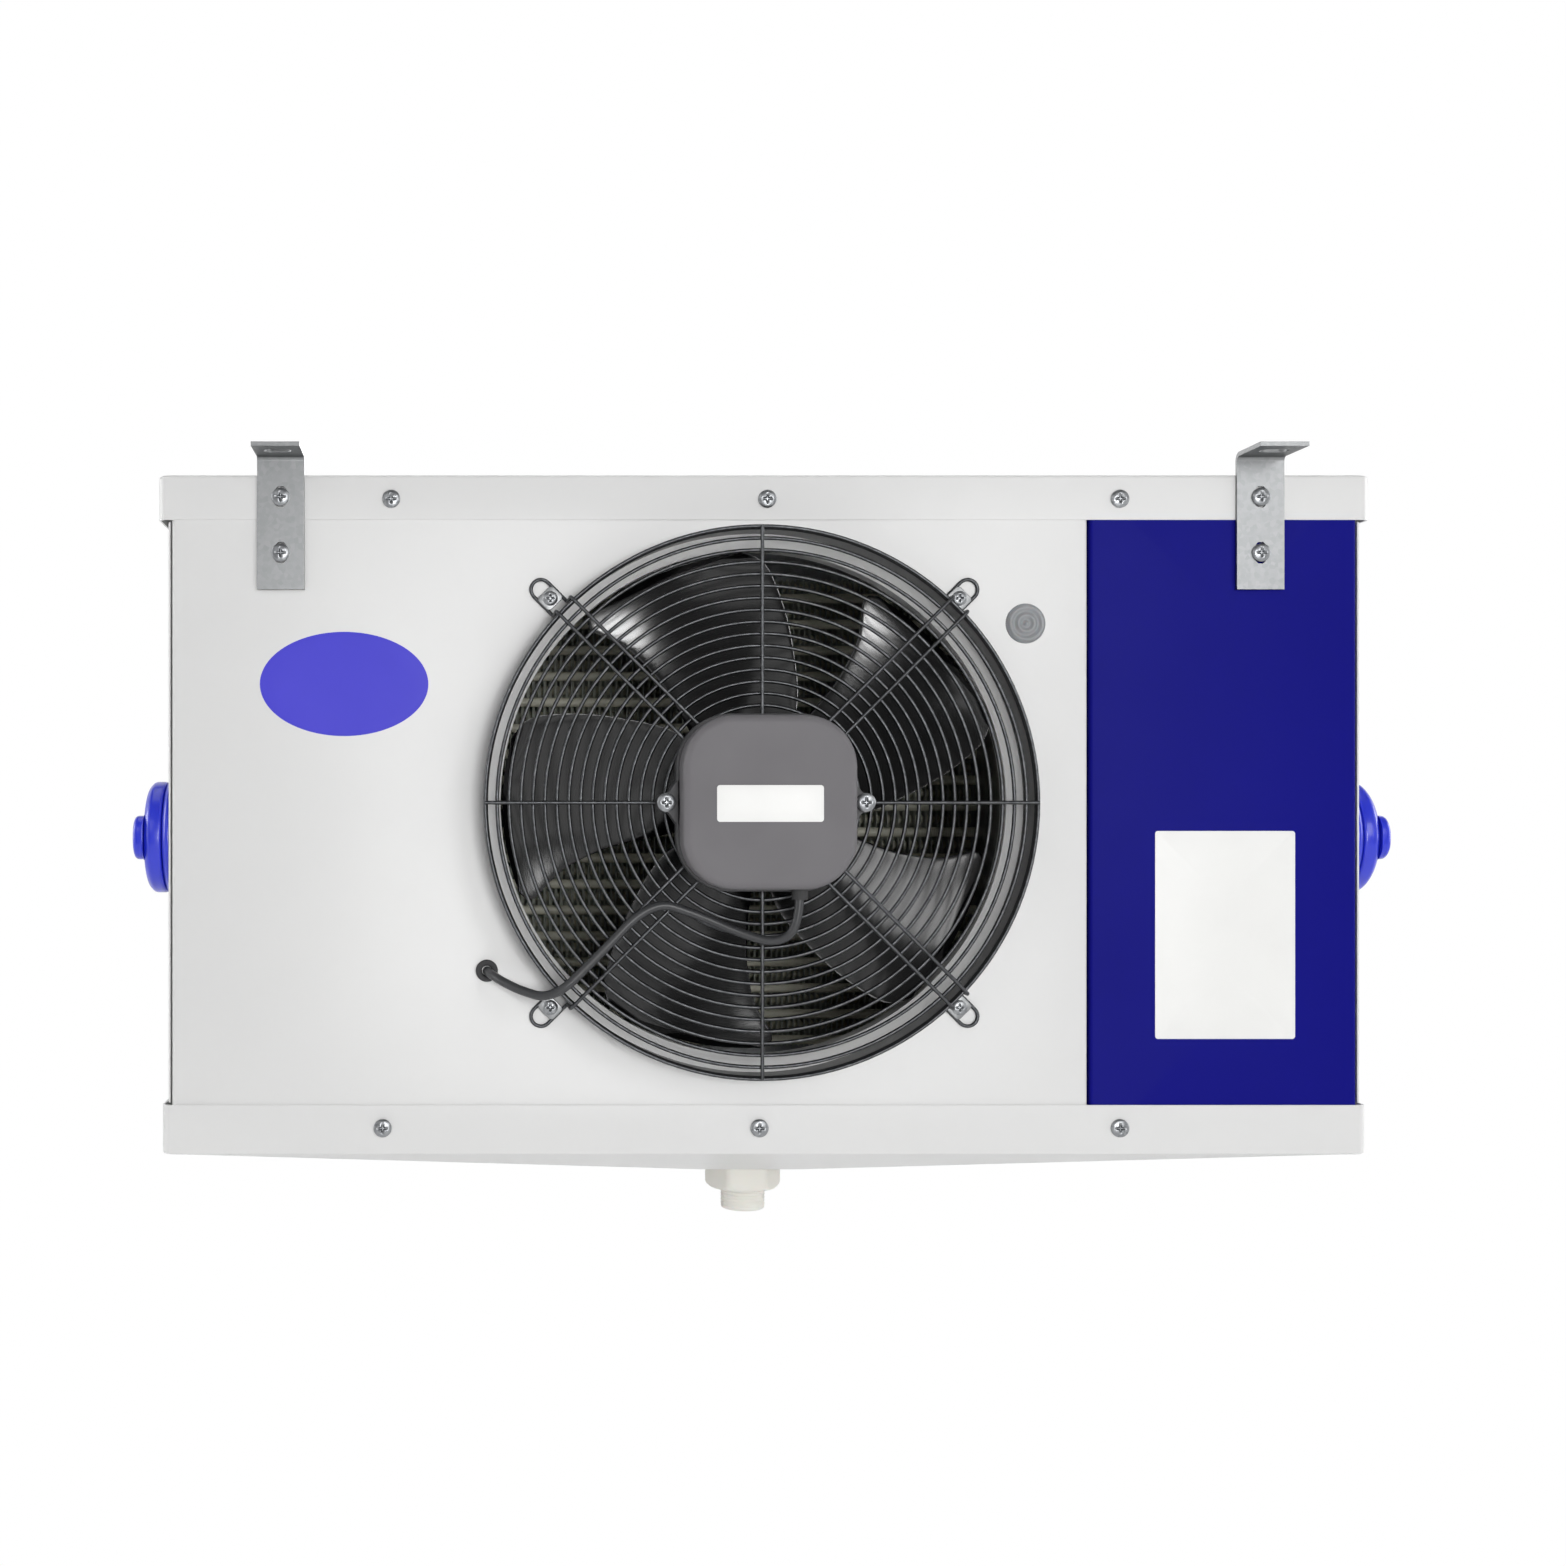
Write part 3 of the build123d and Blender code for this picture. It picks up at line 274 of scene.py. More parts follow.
cast_motor = bare_metal("painted_die_casting", "#4A4A4C", "#38383A", 0.55, 0.0, 1.5, 0.08)
tube_film = bare_metal("filmed_copper_tube", "#F0EEDC", "#D2D0BF", 0.45, 0.0, 3.0, 0.03)
fin_lacquer = bare_metal("lacquered_aluminium_fin", "#D2D5CB", "#B3B7AC", 0.5, 0.0, 4.0, 0.02)
copper = bare_metal("dull_copper", "#C08062", "#9A6248", 0.36, 1.0, 2.0, 0.02)
brass = bare_metal("machined_brass", "#C9A961", "#AC8E4C", 0.32, 1.0, 1.2, 0.02)
ground_steel = bare_metal("ground_steel", "#B9BBBE", "#9A9CA0", 0.28, 1.0, 1.0, 0.01)
laminations = bare_metal("steel_laminations", "#6A5C4C", "#4C4237", 0.5, 0.6, 1.0, 0.05)
print("bare metals made")


# %% [markdown]
# Most new shapes below are one of three surfaces of two parameters. A turned surface carries a
# profile round an axis. A tube carries a circle along a path. A stack carries a rounded rectangle
# from level to level: with equal sides and a corner radius of half a side it is a circle, so the
# same surface can run from a round hole to a square panel.

# %% Grids of points
def grid_shape(points, wrap_u=False, wrap_v=False):
    """A grid of points, shaped (u, v, 3), as one shape: its vertices and its quads as index rows. A
    wrapped side joins its last line to its first."""
    count_u, count_v = points.shape[:2]
    u, v = np.meshgrid(np.arange(count_u - (not wrap_u)), np.arange(count_v - (not wrap_v)), indexing="ij")
    next_u, next_v = (u + 1) % count_u, (v + 1) % count_v
    quads = [u * count_v + v, next_u * count_v + v, next_u * count_v + next_v, u * count_v + next_v]
    return points.reshape(-1, 3), np.stack(quads, axis=-1).reshape(-1, 4)


def closed_ends(rings):
    """A row of rings as one shape, closed by running each end in to its middle point."""
    front, back = (np.broadcast_to(rings[place].mean(axis=0), rings[:1].shape) for place in (0, -1))
    return grid_shape(np.concatenate([front, rings, back]), wrap_v=True)


def full_turn(count):
    """The angles of a full turn in equal steps."""
    return np.arange(count) * 2 * np.pi / count


def joined(shapes):
    """Several shapes as one: the vertices follow each other and the indices move on with them."""
    starts = np.cumsum([0] + [len(vertices) for vertices, _ in shapes[:-1]])
    faces = [quads + start for (_, quads), start in zip(shapes, starts)]
    return np.concatenate([vertices for vertices, _ in shapes]), np.concatenate(faces)


def add_piece(name, shape, material, stands_for=(), smooth_to=38.0, body="casing"):
    """Makes the mesh, merges its doubles, turns its faces outwards and lets it ride on a body. Faces
    that meet at less than smooth_to degrees are shaded as one."""
    vertices, quads = shape
    mesh = bpy.data.meshes.new(name)
    mesh.from_pydata(vertices.tolist(), [], quads.tolist())
    shaping = bmesh.new()
    shaping.from_mesh(mesh)
    bmesh.ops.remove_doubles(shaping, verts=shaping.verts, dist=2e-6)
    bmesh.ops.dissolve_degenerate(shaping, edges=shaping.edges, dist=1e-7)
    bmesh.ops.recalc_face_normals(shaping, faces=shaping.faces)
    shaping.to_mesh(mesh)
    shaping.free()
    mesh.shade_smooth()
    mesh.set_sharp_from_angle(angle=math.radians(smooth_to))
    mesh.materials.append(material)
    piece = bpy.data.objects.new(name, mesh)
    bpy.context.scene.collection.objects.link(piece)
    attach(piece, body)
    if stands_for:
        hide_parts(*stands_for)
    print(name, len(mesh.polygons), "faces")
    return piece


# %% Turned surfaces
axis_frames = {"x": (1, 2, 0), "y": (0, 2, 1), "z": (0, 1, 2)}


def turned(profile, centre, axis="y", sides=96, closed=False):
    """Carries (radius, along) points round an axis: across = radius cos u, up = radius sin u."""
    radius, along = np.asarray(profile, float).T
    u = full_turn(sides)
    across, up, depth = axis_frames[axis]
    points = np.zeros((sides, len(radius), 3))
    points[..., across] = np.cos(u)[:, None] * radius
    points[..., up] = np.sin(u)[:, None] * radius
    points[..., depth] = along
    return grid_shape(points + np.asarray(centre, float), wrap_u=True, wrap_v=closed)


def rounded(points, radius, steps=4, closed=True):
    """Rounds the corners of a profile or a path: each becomes a quadratic curve that starts and ends
    at the given distance from it, or at 0.45 of the shorter side. An open path keeps its ends."""
    points = np.asarray(points, float)
    before, after = np.roll(points, 1, axis=0) - points, np.roll(points, -1, axis=0) - points
    lengths = [np.linalg.norm(side, axis=1)[:, None] for side in (before, after)]
    reach = np.minimum(radius, 0.45 * np.minimum(*lengths))
    start, end = points + before / lengths[0] * reach, points + after / lengths[1] * reach
    t = np.linspace(0, 1, steps)[:, None]
    curve = (1 - t) ** 2 * start[:, None] + 2 * t * (1 - t) * points[:, None] + t ** 2 * end[:, None]
    if not closed:
        curve = np.concatenate([points[:1], *curve[1:-1], points[-1:]])
    return curve.reshape(-1, points.shape[1])


# %% Tubes
def tube(path, radius, upright, sides=10):
    """Carries a circle along a path: each ring lies across the path, between the given upright
    direction, made square to the path, and the direction square to both. Ends run in to a point."""
    path, upright = np.asarray(path, float), np.asarray(upright, float)
    along = np.gradient(path, axis=0)
    along /= np.linalg.norm(along, axis=1)[:, None]
    first = upright - (along @ upright)[:, None] * along
    first /= np.linalg.norm(first, axis=1)[:, None]
    second = np.cross(along, first)
    u = full_turn(sides)[:, None]
    return closed_ends(path[:, None] + radius * (np.cos(u) * first[:, None] + np.sin(u) * second[:, None]))


# %% Stacks of rounded outlines
def stacked(levels, axis="y", per_corner=8, closed=False):
    """Carries a rounded rectangle through levels of (centre across, centre up, width, height, corner,
    depth). Its points are each corner's centre plus a quarter circle, and a level is one ring."""
    centre_across, centre_up, width, height, corner, along = np.array(levels, float).T
    corner = np.minimum(corner, np.minimum(width, height) / 2)
    turn = (np.linspace(0, np.pi / 2, per_corner) + np.arange(4)[:, None] * np.pi / 2).reshape(-1, 1)
    sign_across, sign_up = np.repeat([[1, -1, -1, 1], [1, 1, -1, -1]], per_corner, axis=1)[..., None]
    across, up, depth = axis_frames[axis]
    points = np.zeros((4 * per_corner, len(levels), 3))
    points[..., across] = centre_across + sign_across * (width / 2 - corner) + corner * np.cos(turn)
    points[..., up] = centre_up + sign_up * (height / 2 - corner) + corner * np.sin(turn)
    points[..., depth] = along
    return grid_shape(points, wrap_u=True, wrap_v=closed)


def level(centre, size, inset, corner, depth):
    """One level of a stack, smaller than the given size by an inset all round."""
    return (*centre, size[0] - 2 * inset, size[1] - 2 * inset, corner, depth)


def bend_steps(radius, count=5):
    """A quarter circle as (inset, depth) pairs: inset = r (1 - sin t), depth = r (1 - cos t)."""
    turn = np.linspace(0, np.pi / 2, count)
    return list(zip(radius * (1 - np.sin(turn)), radius * (1 - np.cos(turn))))


def bevelled_plate(centre, size, corner, span, bevel, per_corner=8):
    """A plate between two depths, its outer edges rounded by a quarter circle of inset."""
    (low, high), steps, middle = span, bend_steps(bevel, 4), min(size) / 2
    rim = [(middle, low)] + [(inset, low + lift) for inset, lift in steps]
    rim += [(inset, high - lift) for inset, lift in steps[::-1]] + [(middle, high)]
    levels = [level(centre, size, inset, max(corner - inset, 0), depth) for inset, depth in rim]
    return stacked(levels, per_corner=per_corner)


# %% [markdown]
# Some replacements need the place of each single solid inside a node, such as the six screws of the
# lid. A solid is a group of vertices that edges join, so a walk over the mesh finds them.

# %% Places of the solids in a node
def solids_of(node):
    """The lowest and highest corner of each separate solid of a CAD node, as one array."""
    shaping = bmesh.new()
    shaping.from_mesh(frame["nodes"][node].data)
    bmesh.ops.remove_doubles(shaping, verts=shaping.verts, dist=1e-6)
    waiting, boxes = set(shaping.verts), []
    while waiting:
        group, edge = [], [waiting.pop()]
        while edge:
            vertex = edge.pop()
            group.append(vertex.co[:])
            near = {link.other_vert(vertex) for link in vertex.link_edges} & waiting
            waiting -= near
            edge += near
        boxes.append((np.min(group, axis=0), np.max(group, axis=0)))
    shaping.free()
    return np.array(sorted(boxes, key=lambda box: tuple(np.round(box[0], 4))))


print("lid screws at", solids_of("lid_screws").mean(axis=1).round(3).tolist())


# %% [markdown]
# The motor's cable is the one flexible piece. It leaves the panel through a grommet, rises over the
# hoop beside a guard arm, follows that arm to the motor and turns up into the cap from below. A
# real cable keeps one smooth line, so it is one NURBS curve along the route, and its round section
# is the curve's bevel.

# %% Motor cable
cable_route = [
    (-0.19804, -0.1653, -0.36193), (-0.19804, -0.185, -0.36193), (-0.17891, -0.201, -0.37205),
    (-0.15404, -0.215, -0.37845), (-0.125, -0.214, -0.3505), (-0.087, -0.2136, -0.3106),
    (-0.057, -0.215, -0.32), (-0.03, -0.218, -0.332), (-0.004, -0.2235, -0.34),
    (0.011, -0.228, -0.328), (0.011, -0.228, -0.3026),
]
cable_radius = 0.00315
cable_curve = bpy.data.curves.new("motor_cable", "CURVE")
cable_curve.dimensions = "3D"
cable_curve.bevel_depth = cable_radius
cable_curve.bevel_resolution = 5
cable_curve.resolution_u = 14
cable_curve.use_fill_caps = True
cable_spline = cable_curve.splines.new("NURBS")
cable_spline.points.add(len(cable_route) - 1)
cable_spline.points.foreach_set("co", [number for point in cable_route for number in (*point, 1.0)])
cable_spline.order_u = 3
cable_spline.use_endpoint_u = True
motor_cable = bpy.data.objects.new("motor_cable", cable_curve)
bpy.context.scene.collection.objects.link(motor_cable)
cable_curve.materials.append(cable_sheath)
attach(motor_cable, "casing")
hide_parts("fan_cable")
print("cable of", len(cable_route), "points")


# %% [markdown]
# The casing is folded from sheet. On the real panels every edge is a bend with a small radius, and
# that radius is what catches the light, so each pan is one closed surface: its face, the bend, the
# return behind it, and the same again on the inside one sheet's thickness in. The fan panel also has
# the pressed bell-mouth, a shallow cone from the flat face into a short throat.

# %% Folded pans
sheet = 0.0012
bend = 0.0026
panel_fold = 0.025


def pan_levels(centre, size, face, depth, corner=0.003):
    """Outer and inner levels of a pan whose face lies at one depth and whose returns run by depth."""
    way, run = math.copysign(1, depth), abs(depth)
    steps = bend_steps(bend) + [(0, run), (sheet, run)]
    steps += [(inset + sheet, drop + sheet) for inset, drop in bend_steps(bend - sheet)[::-1]]
    return [level(centre, size, inset, corner, face + way * drop) for inset, drop in steps]


def seen_along(node, axis):
    """Centre and size of a node's box across an axis."""
    low, high = corners(node)[:, axis_frames[axis][:2]]
    return (low + high) / 2, high - low


def closed_pan(node, axis, face, depth, corner=0.003):
    """A whole pan: its levels, closed to a middle line on both sides of the face."""
    centre, size = seen_along(node, axis)
    levels = pan_levels(centre, size, face, depth, corner)
    front, back = (level(centre, size, min(size) / 2, 0, levels[place][-1]) for place in (0, -1))
    return stacked([front] + levels + [back], axis)


def fan_panel():
    """The hole's throat and bell, the flat face and its folds, and back along the inside. The bell:
    radius = throat + lip s, depth = drop (1 - s)^1.3, with s running from throat to face."""
    throat, lip, drop, throat_depth = 0.1775, 0.0105, 0.0042, 0.020

    def hole(back):
        """The round levels from the throat's end to the face, moved into the sheet by a length."""
        steps = [(throat + back, throat_depth)]
        for s in np.linspace(0, 1, 9):
            steps.append((throat + lip * s + back * (1 - s), drop * (1 - s) ** 1.3 + back))
        return [(fan_x, fan_z, 2 * radius, 2 * radius, radius, panel_face + depth) for radius, depth in steps]

    folds = pan_levels(*seen_along("front_panel", "y"), panel_face, panel_fold)
    return stacked(hole(0) + folds + hole(sheet)[::-1], per_corner=40, closed=True)


add_piece("fan_panel", fan_panel(), white_paint, ["front_panel"], 30)
cover = closed_pan("service_cover", "y", panel_face, panel_fold)
add_piece("blue_cover", cover, blue_paint, ["service_cover"], 30)
lid_base, lid_top = corners("top_lid")[:, 2]
lid = closed_pan("top_lid", "z", lid_top, lid_base - lid_top, corner=0.006)
add_piece("lid", lid, white_paint, ["top_lid"], 30)


# %% Drain tray
def drain_tray():
    """An upright lip, then a floor that falls from all sides to a small square at the drain."""
    centre, size = seen_along("drain_tray", "z")
    well, _ = seen_along("drain_nut", "z")
    base, top = corners("drain_tray")[:, 2]
    lip, lip_bend, corner, well_side = 0.035, 0.004, 0.006, 0.080
    sides = []
    for back in (0, sheet):
        side = [level(centre, size, back, corner, top)]
        for step, drop in bend_steps(lip_bend)[::-1]:
            side.append(level(centre, size, back + step, corner, top - lip + drop * 0.4 + back))
        side += [(*well, well_side, well_side, 0.004, base + back), (*well, 0, 0, 0, base + back)]
        sides.append(side)
    return stacked(sides[0][::-1] + sides[1], "z")


add_piece("drain_tray_skin", drain_tray(), white_paint, ["drain_tray"], 30)


# %% [markdown]
# The guard is welded from round steel wire: sixteen rings, four single spokes, and four double arms
# that run over the hoop and end in a loop round a screw. Rings are a small circle turned round the
# fan's axis. An arm is one wire bent in a long hairpin, so it is a tube along a path whose corners
# are rounded. Small square washers under the screws press both its wires on to the panel.

# %% Wire guard
hoop_low, hoop_high = corners("guard_hoop")
hoop_reach = (hoop_high[0] - hoop_low[0]) / 2
wire = 0.0013
ring_depth = hoop_low[1] - wire
arm_depth = ring_depth - 2 * wire
spoke_angles = [0, 90, 180, 270]
arm_angles = [45, 135, 225, 315]


def about_fan(shape, angles):
    """A shape drawn along x, turned to each angle seen from the front and moved to the fan's axis."""
    vertices, quads = shape
    copies = []
    for angle in np.radians(angles):
        across = vertices[:, 0] * math.cos(angle) - vertices[:, 2] * math.sin(angle)
        up = vertices[:, 0] * math.sin(angle) + vertices[:, 2] * math.cos(angle)
        copies.append((np.stack([fan_x + across, vertices[:, 1], fan_z + up], axis=1), quads))
    return joined(copies)


def guard_rings(count=16, innermost=0.0664):
    """Rings of equal pitch, each a circle of wire turned round the axis."""
    turn = full_turn(10)
    section = wire * np.stack([np.cos(turn), np.sin(turn)], axis=1)
    return joined([
        turned(section + (radius, ring_depth), fan_axis, sides=144, closed=True)
        for radius in np.linspace(hoop_reach - wire, innermost, count)
    ])


def double_arm():
    """Out along one wire, down outside the hoop, round the screw, and back along the other."""
    start, leg, lug, half, reach = 0.062, hoop_reach + 0.0016, hoop_reach + 0.0211, 0.007, 0.004
    foot = panel_face - wire
    turn = np.linspace(np.pi / 2, -np.pi / 2, 13)
    loop = np.stack([lug + half * np.cos(turn), 0 * turn + foot, half * np.sin(turn)], axis=1)
    out = [(start, arm_depth, half), (leg, arm_depth, half), (leg, foot, half), (lug - reach, foot, half)]
    out = rounded(out, reach, steps=6, closed=False)
    return tube(np.concatenate([out, loop, out[::-1] * (1, 1, -1)]), wire, (0, 1, 0.6))


spoke = tube([(x, arm_depth, 0) for x in np.linspace(0.0565, hoop_reach - wire, 4)], wire, (0, 0, 1))
seat = panel_face - 2 * wire
washer = bevelled_plate((hoop_reach + 0.0121, 0), (0.0125, 0.0145), 0.003, (seat - 0.001, seat), 0.0004)
wires = joined([about_fan(double_arm(), arm_angles), about_fan(spoke, spoke_angles)])
add_piece("guard_rings", guard_rings(), guard_steel, ["guard_grille"])
add_piece("guard_arms", wires, guard_steel)
add_piece("guard_keepers", about_fan(washer, arm_angles), hanger_zinc)


# %% Hoop of the guard
def hoop(wall=0.0015, roll=0.0016):
    """A thin band, its front edge rolled round a wire, its rear edge on the panel."""
    bead_radius, bead_depth = hoop_reach - roll, hoop_low[1] + roll
    profile = [(hoop_reach, panel_face)]
    for t in np.linspace(0, 1.5 * np.pi, 10):
        profile.append((bead_radius + roll * math.cos(t), bead_depth - roll * math.sin(t)))
    profile += [(hoop_reach - wall, bead_depth + 2 * roll), (hoop_reach - wall, panel_face)]
    return turned(profile, fan_axis, sides=192, closed=True)


add_piece("guard_band", hoop(), hoop_enamel, ["guard_hoop"], 30)


# %% [markdown]
# The blades are moulded in one piece with the hub. Each is a sickle: seen from the front its two
# edges are curves of angle against radius. Across the blade the surface climbs from the front edge
# to the rear one and bows backwards in between, and it is thickest near the middle. Those are all
# functions of two parameters, the radius and the share of the way across, so a blade is one grid.

# %% Fan impeller
rotor_front, rotor_rear = corners("fan_impeller")[:, 1]
blade_root = 0.049
blade_tip = 0.1755
hub_radius = 0.052


def blade(count_r=44, count_s=30, tip_corner=0.014):
    """Angle = trailing + share (leading - trailing); depth = middle + rise (share - 1/2) + camber
    4 share (1 - share); half thickness = t sqrt(1 - (2 share - 1)^6), less towards the tip."""
    radius = np.linspace(blade_root, blade_tip, count_r)
    stations = [blade_root, 0.075, 0.105, 0.14, blade_tip]
    edges = []
    for angles in ([62.0, 66.0, 74.5, 81.5, 88.5], [131.5, 127.0, 125.5, 127.5, 134.0]):
        padded = np.pad(np.interp(radius, stations, angles), 6, "reflect", reflect_type="odd")
        edges.append(np.convolve(padded, np.hanning(13) / np.hanning(13).sum(), "valid"))
    into = np.clip((radius - (blade_tip - tip_corner)) / tip_corner, 0, 1)
    inset = np.degrees(tip_corner * (1 - np.sqrt(1 - into ** 2 * 0.999)) / radius)
    trailing, leading, radius, into = (
        row[:, None] for row in (edges[0] + inset, edges[1] - inset, radius, into)
    )
    share = (1 - np.cos(np.linspace(0, np.pi, count_s))) / 2
    angle = np.radians(trailing + share * (leading - trailing))
    outwards = (radius - blade_root) / (blade_tip - blade_root)
    rise, camber = 0.036 - 0.004 * outwards, 0.006 + 0.004 * outwards
    middle = (rotor_front + rotor_rear) / 2 - 0.003
    depth = middle + rise * (share - 0.5) + camber * 4 * share * (1 - share)
    half = (0.0014 - 0.0005 * into ** 2) * np.sqrt(np.clip(1 - (2 * share - 1) ** 6, 0, 1))
    x, z = radius * np.cos(angle), radius * np.sin(angle)
    front, back = (np.stack([x, depth + side * half, z], axis=-1) for side in (-1, 1))
    return closed_ends(np.concatenate([front, back[:, ::-1]], axis=1))


def hub(bore=0.00403, boss=0.010):
    """A cup on the shaft: rounded shoulders outside, a web and a boss inside."""
    face, web_front, web_rear, boss_rear = (rotor_front + step for step in (0.001, 0.011, 0.0145, 0.023))
    profile = [
        (bore, face), (boss, face), (boss, web_front), (blade_root, web_front), (blade_root, rotor_front),
        (hub_radius, rotor_front), (hub_radius, rotor_rear), (blade_root, rotor_rear),
        (blade_root, web_rear), (boss, web_rear), (boss, boss_rear), (bore, boss_rear),
    ]
    return turned(rounded(profile, 0.0012), fan_axis, closed=True)


impeller = joined([about_fan(blade(), 72 * np.arange(5)), hub()])
add_piece("fan_blades", impeller, blade_black, ["fan_impeller"], 50, "fan_rotor")


# %% [markdown]
# In the middle sits the motor: a die-cast body on the guard's wires, with a square flange and two
# screw bosses, and in front of it a square plastic cap with large corner radii. Its rim is rounded
# by a few millimetres, as a moulding's must be to leave its mould.

# %% Motor cap and body
cap_low, cap_high = corners("motor_cover")
cap_size = cap_high[0] - cap_low[0]
cap_corner = 0.0345
cap_dip = 0.0006
boss_front, barrel_rear = corners("motor_housing")[:, 1]
flange_front, flange_rear = boss_front + 0.0025, hoop_low[1] - 4 * wire


def cap(rim=0.0055, edge=0.0006):
    """A rounded square through depth: its face dips by a hair, its rim turns by a quarter round."""
    centre, size, front, back = (fan_x, fan_z), (cap_size, cap_size), cap_low[1], cap_high[1]
    levels = [(*centre, 0, 0, 0, front + 0.0008), (*centre, 0.094, 0.094, 0.026, front + cap_dip)]
    for inset, drop in bend_steps(rim, 8):
        levels.append(level(centre, size, inset, cap_corner - inset, front + drop))
    levels += [level(centre, size, 0, cap_corner, back - 0.0004)]
    levels += [level(centre, size, edge, cap_corner - edge, back), (*centre, 0, 0, 0, back)]
    return stacked(levels, per_corner=14)


def loft(outline, steps):
    """Carries a closed outline about its middle through (scale, depth) steps and closes both ends."""
    middle = outline.mean(axis=0)
    scale, depth = np.asarray(steps, float).T
    flat = middle + (outline - middle)[:, None] * scale[None, :, None]
    points = np.zeros((len(outline), len(scale), 3))
    points[..., 0], points[..., 2], points[..., 1] = flat[..., 0], flat[..., 1], depth
    return grid_shape(points, wrap_u=True)


def ear():
    """A boss on a foot that widens towards the flange, with all its corners rounded."""
    tip, neck, foot, inside = 0.0725, 0.0655, cap_size / 2 + 0.001, cap_size / 2 - 0.009
    half = [(tip, 0.0055), (neck, 0.0065), (foot, 0.0165), (inside, 0.0165)]
    outline = rounded(half + [(x, -z) for x, z in half[::-1]], 0.004, steps=6)
    front, rear = flange_front, flange_rear
    return loft(outline, [(0, front), (0.94, front), (1, front + 0.001), (1, rear), (0, rear)])


def motor_body(outside=0.050, inside=0.046, floor=0.003, bore=0.0022, boss=0.0055):
    """The flange, the two ears with their bosses, and the barrel behind."""
    flange = bevelled_plate(
        (fan_x, fan_z), (cap_size + 0.004, cap_size + 0.004), cap_corner + 0.002,
        (flange_front, flange_rear), 0.0012, per_corner=14,
    )
    barrel = turned([
        (0, flange_rear), (outside, flange_rear), (outside, barrel_rear), (inside, barrel_rear),
        (inside, flange_rear + floor), (0, flange_rear + floor),
    ], fan_axis)
    wall = rounded([(bore, boss_front), (boss, boss_front), (boss, flange_rear), (bore, flange_rear)], 0.0008)
    bossed_ear = joined([ear(), turned(wall, (0.067, 0, 0), sides=32, closed=True)])
    return joined([flange, barrel, about_fan(bossed_ear, [0, 180])])


add_piece("motor_cap", cap(), cap_grey, ["motor_cover"], 40)
add_piece("motor_body", motor_body(), cast_motor, ["motor_housing"], 35)


# %% [markdown]
# Pan-head screws with a cross recess hold everything. A head is a dome over a disc, and the recess
# is a cross cut into it whose arms get shallower outwards. As a grid of radius against angle, the
# height is the dome minus the cross.

# %% Screws
def screw_head(radius, height, rings=15, sides=48):
    """Height = h (0.45 + 0.55 sqrt(1 - 0.98 (r/R)^2) - 0.55 cut), where the cut is 1 on the cross and
    falls to 0 across and along its arms."""
    share = np.linspace(0, 1, rings)[None, :]
    turn = full_turn(sides)[:, None]
    x, z = radius * share * np.cos(turn), radius * share * np.sin(turn)
    off_arm = np.minimum(np.abs(x), np.abs(z)) / (0.13 * radius)
    cut = np.clip(1.4 - off_arm, 0, 1) * np.clip(1.5 - share / 0.42, 0, 1)
    rise = height * (0.45 + 0.55 * np.sqrt(1 - 0.98 * share ** 2) - 0.55 * cut)
    points = np.stack([x, -rise, z], axis=-1)
    base, under = points[:, -1:] * (1, 0, 1), np.zeros((sides, 1, 3))
    return grid_shape(np.concatenate([points, base, under], axis=1), wrap_u=True)


def screw_set(node, radius=0.0063, height=0.0030, shank=0.002, inwards=0.0):
    """A head and a shank for each solid of a screw node; rear screws are turned about. Inwards
    moves each towards the fan's axis by a length."""
    shapes = []
    for low, high in solids_of(node):
        middle = (low + high) / 2
        to_axis = np.array([fan_x - middle[0], 0, fan_z - middle[2]])
        x, _, z = middle + inwards * to_axis / np.linalg.norm(to_axis)
        way = 1 if low[1] < 0 else -1
        top, end = (low[1], high[1])[::way]
        seat = top + way * height
        vertices, quads = screw_head(radius, height)
        shapes.append((vertices * (1, way, 1) + (x, seat, z), quads))
        profile = [(0, seat), (shank, seat), (shank, end - way * 0.002), (0, end)]
        shapes.append(turned(profile, (x, 0, z), sides=12))
    return joined(shapes)


for node in ("lid_screws", "tray_screws", "hanger_screws", "guard_screws", "motor_screws"):
    own = {"radius": 0.0052, "inwards": 0.009} if node == "guard_screws" else {}
    screws = add_piece(node + "_fine", screw_set(node, **own), screw_zinc, [node], 35)


# %% [markdown]
# Small rubber and plastic pieces close the holes in the panel: a grommet round the cable and a blank
# plug with pressed rings. Both are turned shapes, and so is the drain's outlet. Its lock nut is a
# hexagon that is rounded over at both ends, as a moulded nut is.

# %% Grommet and plug
def grommet(bore=0.0035, neck=0.0053):
    """A soft collar: a fat rounded lip in front, a neck in the hole, a thinner lip behind."""
    low, high = corners("cable_grommet")
    x, _, z = (low + high) / 2
    front, back, lip = low[1], high[1], (high[0] - low[0]) / 2
    profile = [
        (bore, front + 0.0008), (0.005, front), (lip, front), (lip, panel_face), (neck, panel_face),
        (neck, panel_face + sheet), (0.0066, panel_face + sheet), (0.0058, back), (bore, back),
    ]
    return turned(rounded(profile, 0.0016, 5), (x, 0, z), sides=48, closed=True)


def plug(neck=0.0098, height=0.0022, wave=0.0009, waves=2.5):
    """Rings pressed into a shallow dome: its height waves with a cosine of the radius, but for the rim."""
    low, high = corners("blank_plug")
    x, _, z = (low + high) / 2
    share = np.linspace(0, 1, 40)
    rings = np.where(share < 0.95, wave * np.cos(share * 2 * np.pi * waves), 0)
    dome = height * np.sqrt(np.clip(1 - share ** 6, 0, 1)) + rings
    face = np.stack([(high[0] - low[0]) / 2 * share, panel_face - dome], axis=1).tolist()
    stem = [(neck, panel_face), (neck, high[1] - 0.001), (neck - 0.001, high[1]), (0, high[1])]
    return turned(face + stem, (x, 0, z), sides=64)


